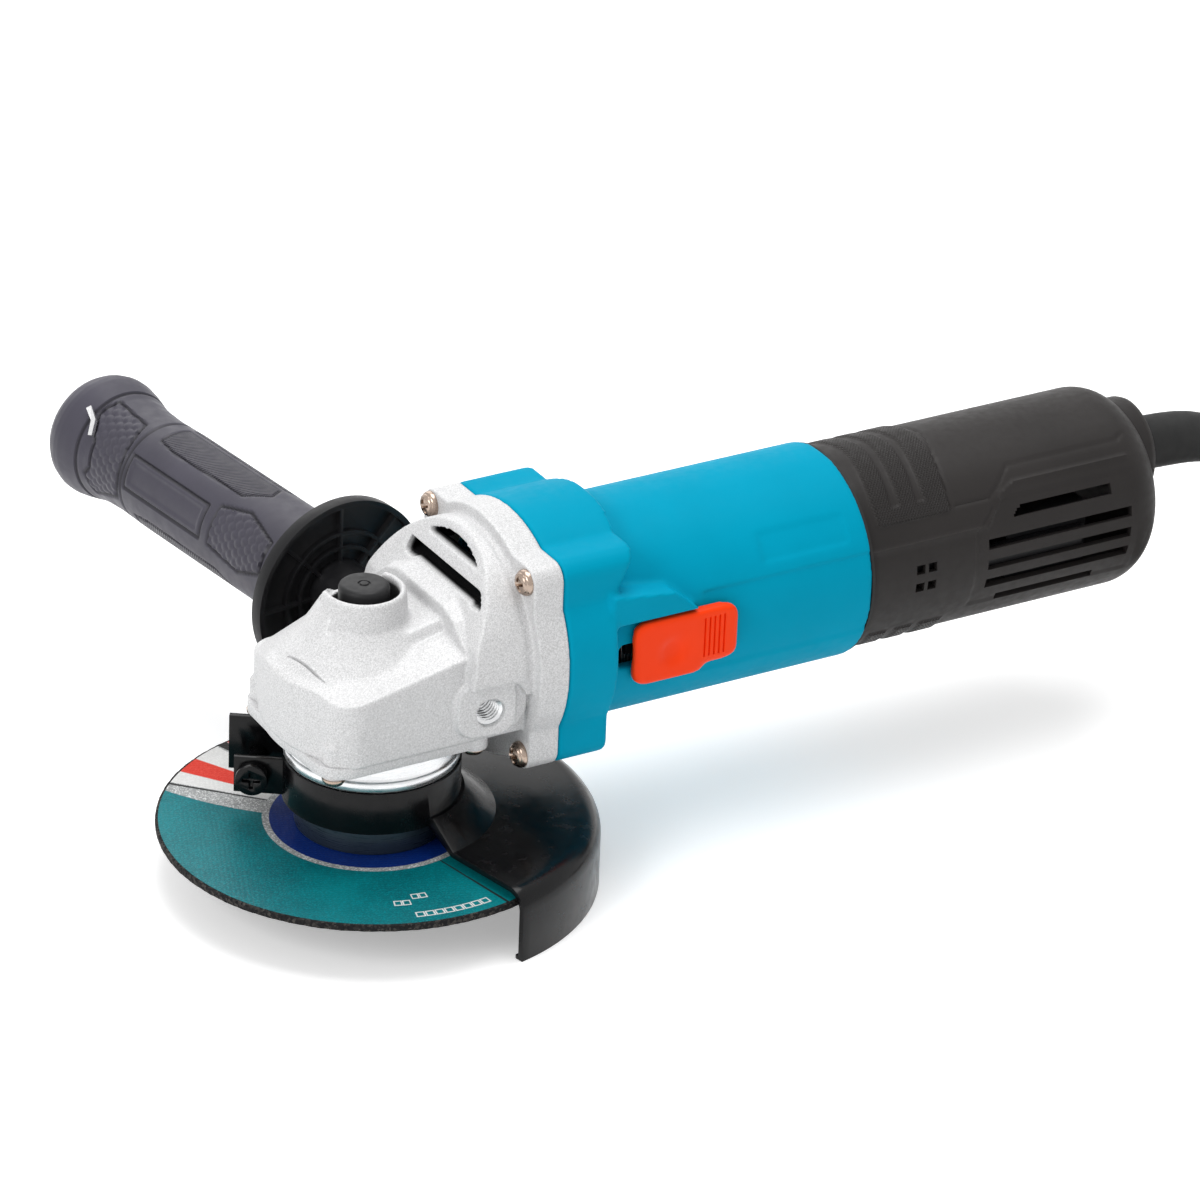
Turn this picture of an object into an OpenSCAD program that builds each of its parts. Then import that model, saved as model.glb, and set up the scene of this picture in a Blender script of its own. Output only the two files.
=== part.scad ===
// Angle grinder for 115 mm discs, with its guard, side handle and mains lead.
// Millimetres, +Z up along the spindle, +X towards the tail, +Y towards the side handle.
// The origin is the centre of the spindle's free lower end. Heights below are given from the
// upper face of the cutting disc, and seat() lifts them into the part's frame.

/* [Disc and spindle] */
// Diameter of the cutting disc
disc_d = 115; // [100:1:116]
// Thickness of the cutting disc
disc_t = 2; // [1:0.2:3]
// Diameter of the disc's bore, on the inner flange's boss
disc_bore = 22.2; // [20:0.1:24]
// Pitch of the spindle's thread
thread_pitch = 2; // [1.5:0.25:2]
// Diameter over the thread's crests, where it stands free of the nut
crest_d = 13.8; // [13.68:0.02:13.96]
// Length of thread left free below the outer nut
nose_len = 4.5; // [3:0.5:8]
// Height of the outer nut
nut_h = 7.5; // [6:0.5:9]
// Diameter of the outer nut
nut_d = 38; // [34:1:41]
// Diameter of the inner flange
flange_d = 41; // [38:0.5:42]
// Height of the inner flange
flange_h = 7.7; // [6:0.1:8]

/* [Gears] */
// Height of the motor's axis above the disc's upper face
axis_h = 50; // [49:0.5:52]
// Module of the bevel gears at their large end
gear_m = 1; // [0.95:0.01:1]
// Teeth of the bevel gear
gear_teeth = 41; // [37:1:41]
// Teeth of the pinion
pinion_teeth = 13; // [12:1:13]
// Thinning of each tooth, for backlash
backlash = 0.16; // [0.1:0.01:0.3]

/* [Gear housing] */
// Distance from the spindle's axis to the front of the head
head_front = 29.2; // [28.6:0.2:30.2]
// Half the width of the head
head_half_w = 26.5; // [26:0.25:28]
// Height of the head's lower edge
head_bottom = 32; // [31:0.5:33]
// Height of the crease at the front of the head's walls
crease_h = 48.6; // [48:0.2:50]
// Slope of the crease along the head's sides, in degrees
crease_slope = 12.2; // [11:0.2:13]
// Slope of the roof's sides, in degrees
roof_side_slope = 38; // [34:1:40]
// Height of the roof above its front edge's corner
roof_h = 54; // [53.5:0.1:55]
// Radius of the arched shoulder over the motor's axis
arch_r = 31.5; // [30:0.5:33]
// Distance from the spindle's axis to the front face of the mounting flange
flange_x = 31; // [30.5:0.5:32]
// Distance from the spindle's axis to the joint with the motor housing
joint_x = 40; // [39:0.5:41]
// Diameter of the side sockets' thread, at the crests
socket_d = 6.8; // [6:0.1:8]
// Depth of the side sockets
socket_len = 12; // [10:1:12]
// Angle by which the side handle leans forward, in degrees
handle_lean = 6.7; // [0:0.1:8]
// Distance of the side sockets behind the spindle's axis
socket_x = 19.6; // [18:0.2:21]
// Height of the side sockets
socket_h = 41.2; // [40:0.2:43]

/* [Motor housing] */
// Radius of the front block between its corners
block_r = 34.6; // [34:0.1:35]
// Half the width and height of the front block's corners
block_half = 29.9; // [29.5:0.1:30.4]
// Distance of the flange screws from the motor's axis, sideways and up
screw_off = 25.6; // [25:0.1:25.8]
// Length of the front block
block_len = 15; // [14:0.5:16]
// Radius of the motor barrel
barrel_r = 29.8; // [29.4:0.1:31]
// Distance from the spindle's axis to the rear cover's joint
cover_x = 137.4; // [137:0.2:138]
// Radius of the barrel's bore
bore_r = 26; // [25.8:0.1:26.2]

/* [Rear cover] */
// Length of the rear cover
cover_len = 99; // [98:0.5:102]
// Radius of the rear cover
cover_r = 28; // [27.8:0.1:28.6]
// Wall of the rear cover
cover_wall = 1.7; // [1.5:0.1:1.8]
// Radius of the rounding at the tail
tail_round = 12; // [10:1:13]
// Height of the cord above the motor's axis
cord_rise = 9; // [8:0.5:10]

/* [Motor] */
// Radius of the motor's shaft
shaft_r = 5; // [4.8:0.1:5]
// Radius of the armature
armature_r = 16; // [15:0.1:16.2]
// Gap between the armature and the stator
air_gap = 0.7; // [0.5:0.1:0.9]
// Length of the stator and of the armature's core
core_len = 42; // [38:1:42]
// Radius of the commutator
commutator_r = 11; // [10:0.2:11.4]
// Radius of the fan
fan_r = 26; // [24:0.5:27]

/* [Side handle] */
// Radius of the hand guard disc on the side handle
hand_disc_r = 27; // [24:0.5:28]
// Radius of the grip
grip_r = 15.2; // [14:0.1:17]
// Radius of the grip's flared end
knob_r = 18.8; // [18:0.2:20]
// Length of the handle from the wall of the head
handle_len = 147; // [142:1:150]

/* [Guard] */
// Room between the disc's edge and the outside of the guard's skirt
rim_room = 4.3; // [3.9:0.1:6.5]
// Depth of the skirt below the disc's upper face
skirt_depth = 16.4; // [15:0.1:18]
// Height of the guard's cover plate above the disc
cover_h = 4; // [4:0.2:5]
// Thickness of the guard's sheet
sheet_t = 1.6; // [1.4:0.1:2]
// First edge of the guard, in degrees from the tail
guard_from = -78; // [-90:1:-70]
// Sweep of the guard, in degrees
guard_sweep = 178; // [160:1:184]
// Angle of the clamp ears, in degrees from the tail
ear_angle = 145; // [142:1:150]

/* [Controls] */
// Radius of the lock button
button_r = 6.85; // [6.4:0.05:6.9]
// Travel of the lock button
button_travel = 3.5; // [3:0.1:3.5]
// Length of the slide switch's cap
slider_len = 32.4; // [31:0.2:34]
// Travel of the slide switch
slide_travel = 5; // [4:0.2:5.2]

/* [Mains lead] */
// Diameter of the mains lead
cord_d = 7.2; // [6.8:0.1:7.4]
// Radius of the cord sleeve at the tail
sleeve_r = 7.6; // [7:0.1:8]
// Turns of the lead side by side in the coil
coil_rows = 4; // [3:0.5:4]

/* [Clearances] */
// Radial clearance of a running fit
fit = 0.06; // [0.04:0.01:0.08]
// Gap between parts that only pass each other
gap = 0.3; // [0.25:0.05:0.4]

/* [Hidden] */
$fn = 72;
nose_top = nut_h + nose_len;
disc_z = nose_top + disc_t;
free_len = nose_len - 0.5;
pitch_d = crest_d + 0.2 - 0.65 * thread_pitch;

// Gears: pitch radii, cone angles and tooth sizes
gear_pr = gear_m * gear_teeth / 2;
pinion_pr = gear_m * pinion_teeth / 2;
gear_cone = atan2(gear_pr, pinion_pr);
pinion_cone = 90 - gear_cone;
gear_add = 0.75 * gear_m;
pinion_add = 1.15 * gear_m;
root_gap = 0.22 * gear_m;
pressure = 20;
face_k = 0.75;
gear_back = axis_h - pinion_pr - 5.5;

// Spindle stack, upwards from the disc
boss_h = disc_t - 0.2;
guard_r = disc_d / 2 + rim_room;
box_nose = flange_h + 0.9;
collar_bottom = flange_h + 0.5;
collar_top = 20.1;
neck_r = 21.42;
ball_race_bottom = head_bottom - 10;
ball_race_top = head_bottom;
race_r = 16;
race_bore = 6;
gear_bore = 5;
bush_r = 4;
bush_wall = 1;
bush_bottom = axis_h + 1.5;
bush_top = axis_h + 6.5;
chamber_r = gear_pr + 1.8;
boss_out = 1.5;

// Lock button
button_x = -3.4;
pin_r = 1.8;
pin_x = -8.2;
button_floor = axis_h + 7.5;
button_rim = axis_h + 19.6;
button_top = axis_h + 21.5;
button_wall = 1.4;
hub_r = 12;
hub_top = axis_h - 5.6;
pin_bottom = hub_top + 1.6;
ear_split = 11;

// Motor line
front_seat = [24, 33];
front_race = 15;
rear_race = 11;
rear_shaft_r = 3.5;
nose_r = 2.9;
pinion_back = gear_pr + 2;
block_end = joint_x + block_len;
baffle_t = 1.5;
core_x = 62;
core_end = core_x + core_len;
screw_ring_x = core_end;
screw_ring_len = 5;
stator_bore = armature_r + air_gap;
flat_y = 23.6;
brush_x = cover_x - 13.4;
brush_len = 9;
end_wall = [cover_x + 0.6, cover_x + 3.6];
rear_seat = [end_wall[1], end_wall[1] + 7];
spigot_r = bore_r + 0.2;
spigot_in = 24;
spigot_end = cover_x + 8.6;
tail_x = cover_x + cover_len;
cord_z = axis_h + cord_rise;
clamp_x = tail_x - 11.4;
vent_x = cover_x + 38.6;
vent_len = cover_len - 52;

// Slide switch
slider_x = 61;
slider_z = [axis_h - 10, axis_h + 8.5];
stem_z = [axis_h - 4.4, axis_h + 1.4];
stem_x = [slider_x + 5, slider_x + 15];
rod_y = [-25.5, -24];
rod_z = [axis_h - 3, axis_h + 3];
rod_end = tail_x - 28.4;
switch_box = [[tail_x - 52.4, -23.7, axis_h - 9], [tail_x - 26.4, -9.7, axis_h + 9]];

// Mains lead
floor_z = -skirt_depth;
cord_r = cord_d / 2;
sleeve_route = [for (p = [[-5.4, 0], [6.6, 0], [19.6, -0.8], [27.6, -2.4], [35.6, -5], [43.6, -8.7],
  [50.6, -13]]) [tail_x + p[0], 0, cord_z + p[1]]];
cord_route = [sleeve_route[6], [294.5, 0.2, 41.4], [303.5, 2.8, 36], [314, 6, 29.8], [323, 9, 23.6],
  [332, 11.5, 17.2], [341, 12.5, 10.8], [350, 11, 4.4], [358, 6.5, -1.6], [364.5, -0.5, -6.8],
  [369, -9.5, -10.6], [371.5, -19.5, -12.4], [372.5, -30, -12.8], [372, -41, -12.8],
  [369.5, -52, -12.8], [365, -62, -12.8], [358.5, -71, -12.8], [350, -79, -12.8],
  [340, -85, -12.8], [329, -88.5, -12.8], [318, -89.2, -12.8], [309, -88.3, -12.8]];
plug_route = [[362.4, -38, -5.6], [361.5, -49, -4.6], [357, -59, -1.8], [349, -66.5, 1.8],
  [340, -71.3, 5.4], [333, -72, 6.8], [326, -72, 6.8]];
coil_centre = [312, -38];
coil_out = 54;
coil_in = coil_out - coil_rows * cord_d;
coil_h = 2 * cord_d;
plug_at = [326, -72, floor_z + coil_h + 8.8];
plug_half = 8.6;

module seat() {
  translate([0, 0, disc_z]) children();
}

// Places children so that their +Z runs along +X on the motor's axis, from x onwards.
module on_motor_axis(x) {
  translate([x, 0, axis_h]) rotate([0, 90, 0]) children();
}

// A ring or tube about local Z.
module ring(r_out, r_in, h) {
  difference() {
    cylinder(r = r_out, h = h);
    translate([0, 0, -1]) cylinder(r = r_in, h = h + 2);
  }
}

// A box from one corner to the other.
module box(low, high) {
  translate(low) cube(high - low);
}

// A rectangle from low to high with round corners.
module round_rect(low, high, r) {
  translate([low.x + r, low.y]) square([high.x - low.x - 2 * r, high.y - low.y]);
  translate([low.x, low.y + r]) square([high.x - low.x, high.y - low.y - 2 * r]);
  for (x = [low.x + r, high.x - r], y = [low.y + r, high.y - r]) {
    translate([x, y]) circle(r = r);
  }
}

// The four flange screws' places, looking along the motor's axis.
module at_flange_screws() {
  for (y = [-screw_off, screw_off], z = [-screw_off, screw_off]) {
    translate([z, y, 0]) children();
  }
}

// Pan-head screw: the head sits below local Z = 0, the shank runs up.
module pan_screw(head_r, head_h, shank_r, shank_len) {
  difference() {
    translate([0, 0, -head_h]) cylinder(r = head_r, h = head_h);
    translate([0, 0, -head_h - 1]) {
      for (a = [0, 90]) rotate([0, 0, a]) {
        translate([-head_r * 0.55, -head_r * 0.12, 0]) cube([head_r * 1.1, head_r * 0.24, 1 + head_h * 0.5]);
      }
    }
  }
  cylinder(r = shank_r, h = shank_len);
}

// Unit vector, and a tube of changing radius swept along a list of points.
function unit(v) = v / norm(v);
function tangent(p, i) = unit(p[min(i + 1, len(p) - 1)] - p[max(i - 1, 0)]);
function side(t) = unit(cross(t, abs(t.z) > 0.9 ? [1, 0, 0] : [0, 0, 1]));
function sweep_ring(p, i, r, n) = let (t = tangent(p, i), u = side(t), v = cross(u, t))
  [for (k = [0:n - 1]) p[i] + r * (cos(360 * k / n) * u + sin(360 * k / n) * v)];

module sweep(p, radii, n) {
  m = len(p);
  points = [for (i = [0:m - 1]) each sweep_ring(p, i, radii[i], n)];
  walls = [for (i = [0:m - 2], k = [0:n - 1]) let (l = (k + 1) % n) each
    [[i * n + k, i * n + l, (i + 1) * n + l], [i * n + k, (i + 1) * n + l, (i + 1) * n + k]]];
  ends = [[for (k = [n - 1:-1:0]) k], [for (k = [0:n - 1]) (m - 1) * n + k]];
  polyhedron(points = points, faces = concat(walls, ends), convexity = 6);
}

// ---------------------------------------------------------------- bevel gears
// A tooth's outline at the large end: angle about the axis and height over the pitch cone.
// Half the tooth's angle at height h is worked out on the back cone's virtual gear.
function inv(a) = tan(a) * 180 / PI - a;
function half_angle(h, pr, cone) =
  let (rv = pr / cos(cone), rb = rv * cos(pressure), r = rv + h,
    a = r > rb ? acos(rb / r) : 0,
    thick = (PI * gear_m / 2 - backlash) / (2 * rv) * 180 / PI)
  (thick + inv(pressure) - inv(a) + max(rb - r, 0)) * rv / pr;

function tooth(pr, cone, tip, root) = let (steps = [-root, -root / 2, 0, tip / 2, tip])
  concat([for (h = steps) [-half_angle(h, pr, cone), h]],
    [for (i = [4:-1:0]) [half_angle(steps[i], pr, cone), steps[i]]]);

function gear_loop(pr, cone, teeth, tip, root, k) = [for (t = [0:teeth - 1], q = tooth(pr, cone, tip, root))
  let (a = 360 * t / teeth + q[0], r = pr + q[1] * cos(cone), z = -pr / tan(cone) + q[1] * sin(cone))
  [k * r * cos(a), k * r * sin(a), k * z]];

// Toothed ring with its apex at the origin, closed to a flat back at z = back and a bore.
module bevel_teeth(pr, cone, teeth, tip, root, back, inner_r) {
  large = gear_loop(pr, cone, teeth, tip, root, 1);
  small = gear_loop(pr, cone, teeth, tip, root, face_k);
  n = len(large);
  dip = -face_k * (pr / tan(cone) + root * sin(cone));
  inside = [for (p = small) let (c = inner_r / norm([p.x, p.y])) [p.x * c, p.y * c, dip]];
  under = [for (p = inside) [p.x, p.y, back]];
  rim = [for (p = large) [p.x, p.y, back]];
  points = concat(large, small, inside, under, rim);
  faces = [for (ring_i = [0:4], k = [0:n - 1])
    let (l = (k + 1) % n, a = ring_i * n, b = ((ring_i + 1) % 5) * n) each
    [[a + k, b + k, b + l], [a + k, b + l, a + l]]];
  polyhedron(points = points, faces = faces, convexity = 10);
}

module bevel_gear() {
  holes_r = pin_r + 0.35;
  color("dimgray") seat() difference() {
    union() {
      translate([0, 0, axis_h]) rotate([0, 0, 180 / gear_teeth])
        bevel_teeth(gear_pr, gear_cone, gear_teeth, gear_add, pinion_add + root_gap,
          gear_back - axis_h, hub_r - 1);
      translate([0, 0, ball_race_top + 1]) cylinder(r = hub_r, h = hub_top - ball_race_top - 1);
    }
    translate([0, 0, ball_race_top]) cylinder(r = gear_bore, h = 20);
    for (a = [0:90:270]) rotate([0, 0, a]) {
      translate([pin_x, 0, hub_top - 4]) cylinder(r = holes_r, h = 5);
    }
  }
}

module pinion() {
  color("gray") seat() on_motor_axis(0) rotate([180, 0, 0])
    bevel_teeth(pinion_pr, pinion_cone, pinion_teeth, pinion_add, gear_add + root_gap,
      -pinion_back, nose_r);
}

// ---------------------------------------------------------------- spindle group
module spindle_shaft() {
  color("silver") seat() {
    translate([0, 0, -disc_z]) cylinder(d = crest_d, h = free_len);
    translate([0, 0, free_len - disc_z]) cylinder(d = pitch_d, h = disc_z + box_nose - free_len);
    translate([0, 0, box_nose]) cylinder(r = 8, h = ball_race_bottom - box_nose);
    translate([0, 0, ball_race_bottom]) cylinder(r = race_bore, h = ball_race_top + 1 - ball_race_bottom);
    translate([0, 0, ball_race_top + 1]) cylinder(r = gear_bore, h = hub_top - ball_race_top - 1);
    translate([0, 0, hub_top]) cylinder(r = bush_r, h = bush_top - 0.3 - hub_top);
  }
}

module spindle_circlip() {
  color("dimgray") seat() translate([0, 0, hub_top]) ring(gear_bore + 0.8, bush_r, 1);
}

module inner_flange() {
  color("darkslategray") seat() difference() {
    union() {
      cylinder(d = flange_d, h = flange_h - 1);
      translate([0, 0, flange_h - 1]) cylinder(d1 = flange_d, d2 = flange_d - 2, h = 1);
      translate([0, 0, -boss_h]) cylinder(d = disc_bore, h = boss_h);
    }
    translate([0, 0, -boss_h - 1]) cylinder(d = pitch_d, h = boss_h + flange_h + 2);
  }
}

module cutting_disc() {
  color("teal") seat() translate([0, 0, -disc_t]) ring(disc_d / 2, disc_bore / 2 + 1.5, disc_t);
}

module disc_ring() {
  color("silver") seat() translate([0, 0, -disc_t]) ring(disc_bore / 2 + 1.5, disc_bore / 2, disc_t);
}

module outer_nut() {
  rim_h = 3;
  color("dimgray") seat() difference() {
    translate([0, 0, -disc_t - nut_h]) union() {
      cylinder(d = nut_d * 0.66, h = nut_h);
      translate([0, 0, nut_h - rim_h]) cylinder(d = nut_d, h = rim_h);
    }
    translate([0, 0, -disc_z]) cylinder(d = pitch_d, h = disc_z);
    for (a = [0:90:270]) rotate([0, 0, a]) {
      translate([nut_d * 0.41, 0, -disc_t - rim_h - 1]) cylinder(r = 2.3, h = rim_h + 0.4);
    }
  }
}

// ---------------------------------------------------------------- ball bearings
// Inner ring, outer ring with shields, and balls of a bearing whose axis is local Z.
function ball_path(bore, race) = (bore + race) / 2;
function ball_r(bore, race) = (race - bore) * 0.27;

module bearing_inner(bore, race, w) {
  br = ball_r(bore, race);
  difference() {
    ring(ball_path(bore, race) - br * 0.55, bore, w);
    translate([0, 0, w / 2]) rotate_extrude() translate([ball_path(bore, race), 0]) circle(r = br + 0.1);
  }
}

module bearing_outer(bore, race, w) {
  br = ball_r(bore, race);
  difference() {
    union() {
      ring(race, ball_path(bore, race) + br * 0.55, w);
      for (z = [0, w - 0.5]) translate([0, 0, z]) ring(race - 0.1, ball_path(bore, race) - br * 0.55 + gap, 0.5);
    }
    translate([0, 0, w / 2]) rotate_extrude() translate([ball_path(bore, race), 0]) circle(r = br + 0.1);
  }
}

module bearing_balls(bore, race, w, count) {
  for (i = [0:count - 1]) rotate([0, 0, 360 * i / count]) {
    translate([ball_path(bore, race), 0, w / 2]) sphere(r = ball_r(bore, race));
  }
}

module spindle_bearing_race() {
  color("lightgray") seat() translate([0, 0, ball_race_bottom]) bearing_outer(race_bore, race_r, 10);
}

module spindle_bearing_inner() {
  color("lightgray") seat() translate([0, 0, ball_race_bottom]) bearing_inner(race_bore, race_r, 10);
}

module spindle_bearing_balls() {
  color("white") seat() translate([0, 0, ball_race_bottom]) bearing_balls(race_bore, race_r, 10, 7);
}

module spindle_bush() {
  color("goldenrod") seat() translate([0, 0, bush_bottom])
    ring(bush_r + bush_wall, bush_r + fit, bush_top - bush_bottom);
}

module dust_seal() {
  color("black") seat() translate([0, 0, 12]) ring(11, 8 + fit, 5);
}

module motor_bearing_races() {
  color("lightgray") seat() {
    on_motor_axis(front_seat[0]) bearing_outer(shaft_r, front_race, 9);
    on_motor_axis(rear_seat[0]) bearing_outer(rear_shaft_r, rear_race, 7);
  }
}

module motor_bearing_inners() {
  color("lightgray") seat() {
    on_motor_axis(front_seat[0]) bearing_inner(shaft_r, front_race, 9);
    on_motor_axis(rear_seat[0]) bearing_inner(rear_shaft_r, rear_race, 7);
  }
}

module motor_bearing_balls() {
  color("white") seat() {
    on_motor_axis(front_seat[0]) bearing_balls(shaft_r, front_race, 9, 8);
    on_motor_axis(rear_seat[0]) bearing_balls(rear_shaft_r, rear_race, 7, 7);
  }
}

module rear_bearing_seat() {
  color("dimgray") seat() on_motor_axis(rear_seat[0]) ring(rear_race + 1.2, rear_race, 7);
}

// ---------------------------------------------------------------- gear housing
// The lobed outline shared by the housing's flange and the motor housing's block.
module lobed_outline() {
  circle(r = block_r);
  round_rect([-block_half, -block_half], [block_half, block_half], 5);
}

module socket_frame(hand) {
  translate([socket_x, hand * head_half_w, socket_h])
    rotate([0, 0, hand * handle_lean]) rotate([-hand * 90, 0, 0]) children();
}

// The head's walls and creased roof: a bow-fronted outline cut by sloping planes.
module head_shape() {
  w = head_half_w;
  f = head_front;
  bow_r = 42;
  corner_r = 9;
  rake = tan(crease_slope);
  corner_x = bow_r - f - sqrt(pow(bow_r, 2) - pow(w - corner_r, 2)) + corner_r;
  roof_rise = 0.33;
  edge_x = 4.6 - f;
  side_rise = 8 * tan(roof_side_slope);
  intersection() {
    translate([0, 0, head_bottom]) linear_extrude(height = 60) {
      intersection() {
        translate([-f, corner_r - w]) square([f + flange_x, 2 * (w - corner_r)]);
        translate([bow_r - f, 0]) circle(r = bow_r);
      }
      translate([corner_x, -w]) square([flange_x + 1 - corner_x, 2 * w]);
      for (y = [corner_r - w, w - corner_r]) translate([corner_x, y]) circle(r = corner_r);
    }
    translate([0, 60, 0]) rotate([90, 0, 0]) linear_extrude(height = 120)
      polygon([[-f, head_bottom], [flange_x + 1, head_bottom],
        [flange_x + 1, roof_h + roof_rise * (flange_x + 1 - edge_x)], [edge_x, roof_h], [-f, crease_h]]);
    translate([-f, 0, crease_h]) rotate([0, -crease_slope, 0])
      rotate([90, 0, 90]) translate([0, 0, -20]) linear_extrude(height = 110)
      polygon([[-w, -60], [w, -60], [w, 0], [w - 8, side_rise], [w - 15, side_rise + 2.6],
        [0, side_rise + 3.6], [15 - w, side_rise + 2.6], [8 - w, side_rise], [-w, 0]]);
  }
}

// The arched shoulder with its sloping louvre face, between the roof and the flange.
module arch_shape(inset = 0) {
  slope = 1.87;
  intersection() {
    on_motor_axis(5) cylinder(r = arch_r - inset, h = flange_x - 5);
    translate([0, 60, 0]) rotate([90, 0, 0]) linear_extrude(height = 120)
      polygon([[12 + inset, axis_h - 5], [14 + inset, axis_h + 10],
        [14 + inset + 21 / slope, axis_h + 31], [flange_x - 1, axis_h + 40],
        [flange_x, axis_h + 40], [flange_x, axis_h - 5]]);
  }
}

module gear_housing() {
  plate_t = 3;
  spigot_h = 2;
  color("gainsboro") seat() difference() {
    union() {
      head_shape();
      arch_shape();
      on_motor_axis(flange_x) linear_extrude(height = joint_x - flange_x) lobed_outline();
      translate([button_x, 0, button_rim - 11]) cylinder(r1 = 17, r2 = 9.8, h = 6.5);
      translate([button_x, 0, axis_h]) cylinder(r = 9.6, h = button_rim - axis_h);
      for (hand = [-1, 1]) socket_frame(hand) {
        translate([0, 0, -9]) linear_extrude(height = 9 + boss_out)
          translate([-9.8, hand < 0 ? -6 : -12]) round_rect([0, 0], [20.6, 18], 6);
      }
    }
    // gear chamber, pinion pocket and bearing seats
    translate([0, 0, head_bottom - 1]) cylinder(r = chamber_r, h = axis_h - head_bottom + 1);
    on_motor_axis(9) cylinder(r = 8.6, h = 16);
    on_motor_axis(front_seat[0]) cylinder(r = front_race, h = joint_x - front_seat[0] + 1);
    translate([0, 0, axis_h - 1]) cylinder(r = bush_r + bush_wall, h = bush_top - axis_h + 1);
    // lock button's well and pin hole
    translate([button_x, 0, button_floor]) cylinder(r = button_r + fit, h = 20);
    translate([pin_x, 0, axis_h - 1]) cylinder(r = pin_r + fit, h = 20);
    // air chamber over the bearing seat, and its louvres
    difference() {
      arch_shape(plate_t);
      translate([0, -40, 0]) cube([60, 80, axis_h + 17.8]);
    }
    difference() {
      on_motor_axis(flange_x + plate_t) cylinder(r = arch_r - plate_t, h = 10);
      on_motor_axis(flange_x) cylinder(r = front_race + 3, h = 12);
    }
    on_motor_axis(flange_x - 1) intersection() {
      cylinder(r = arch_r - plate_t, h = 10);
      translate([-40, -40, 0]) cube([40 - 17.8, 80, 20]);
    }
    box([10, -17, axis_h + 25.6], [flange_x - 2, 12, axis_h + 29]);
    box([10, -26, axis_h + 18.6], [flange_x - 2, 18, axis_h + 22.4]);
    // flange screws and side sockets
    on_motor_axis(flange_x - 10) at_flange_screws() cylinder(r = 4.4, h = 10);
    on_motor_axis(0) at_flange_screws() cylinder(r = 2, h = 60);
    for (hand = [-1, 1]) socket_frame(hand) {
      translate([0, 0, boss_out - socket_len]) cylinder(d = socket_d, h = socket_len + 1);
      translate([0, 0, boss_out]) cylinder(r = 10.5, h = 12);
    }
    // tapped holes for the bearing box
    at_box_screws() translate([0, 0, head_bottom - 1]) cylinder(r = 1.8, h = 6);
  }
}

// ---------------------------------------------------------------- bearing box
module at_box_screws() {
  for (p = [[-23, -21.2], [-23, 21.2], [18, -22.4], [18, 22.4]]) {
    translate([p.x, p.y, 0]) children();
  }
}

module bearing_box() {
  plate_h = 3.2;
  color("silver") seat() difference() {
    union() {
      translate([0, 0, head_bottom - plate_h]) linear_extrude(height = plate_h)
        round_rect([-head_front + 3, -head_half_w + 1.2], [24, head_half_w - 1.2], 8);
      translate([0, 0, 23]) cylinder(r = 22.6, h = head_bottom - plate_h - 23);
      translate([0, 0, collar_top + gap]) cylinder(r = 23.6, h = 23 - collar_top - gap);
      translate([0, 0, box_nose]) cylinder(r = neck_r, h = 23 - box_nose);
    }
    translate([0, 0, ball_race_bottom]) cylinder(r = race_r, h = 20);
    translate([0, 0, 17]) cylinder(r = 13, h = 10);
    translate([0, 0, 12]) cylinder(r = 11, h = 10);
    translate([0, 0, 0]) cylinder(r = 9.4, h = 20);
    at_box_screws() translate([0, 0, head_bottom - 5]) cylinder(r = 2, h = 10);
    for (a = [-60, -120]) rotate([0, 0, a]) box([20, -1.8, 24], [24, 1.8, 27]);
  }
}

module bearing_box_screws() {
  color("rosybrown") seat() at_box_screws() translate([0, 0, head_bottom - 3.2])
    pan_screw(3.2, 2.2, 1.8, 7.5);
}

module flange_screws() {
  color("rosybrown") seat() on_motor_axis(flange_x) at_flange_screws()
    pan_screw(3.6, 2.6, 1.9, joint_x - flange_x + block_len - 4);
}

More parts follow.
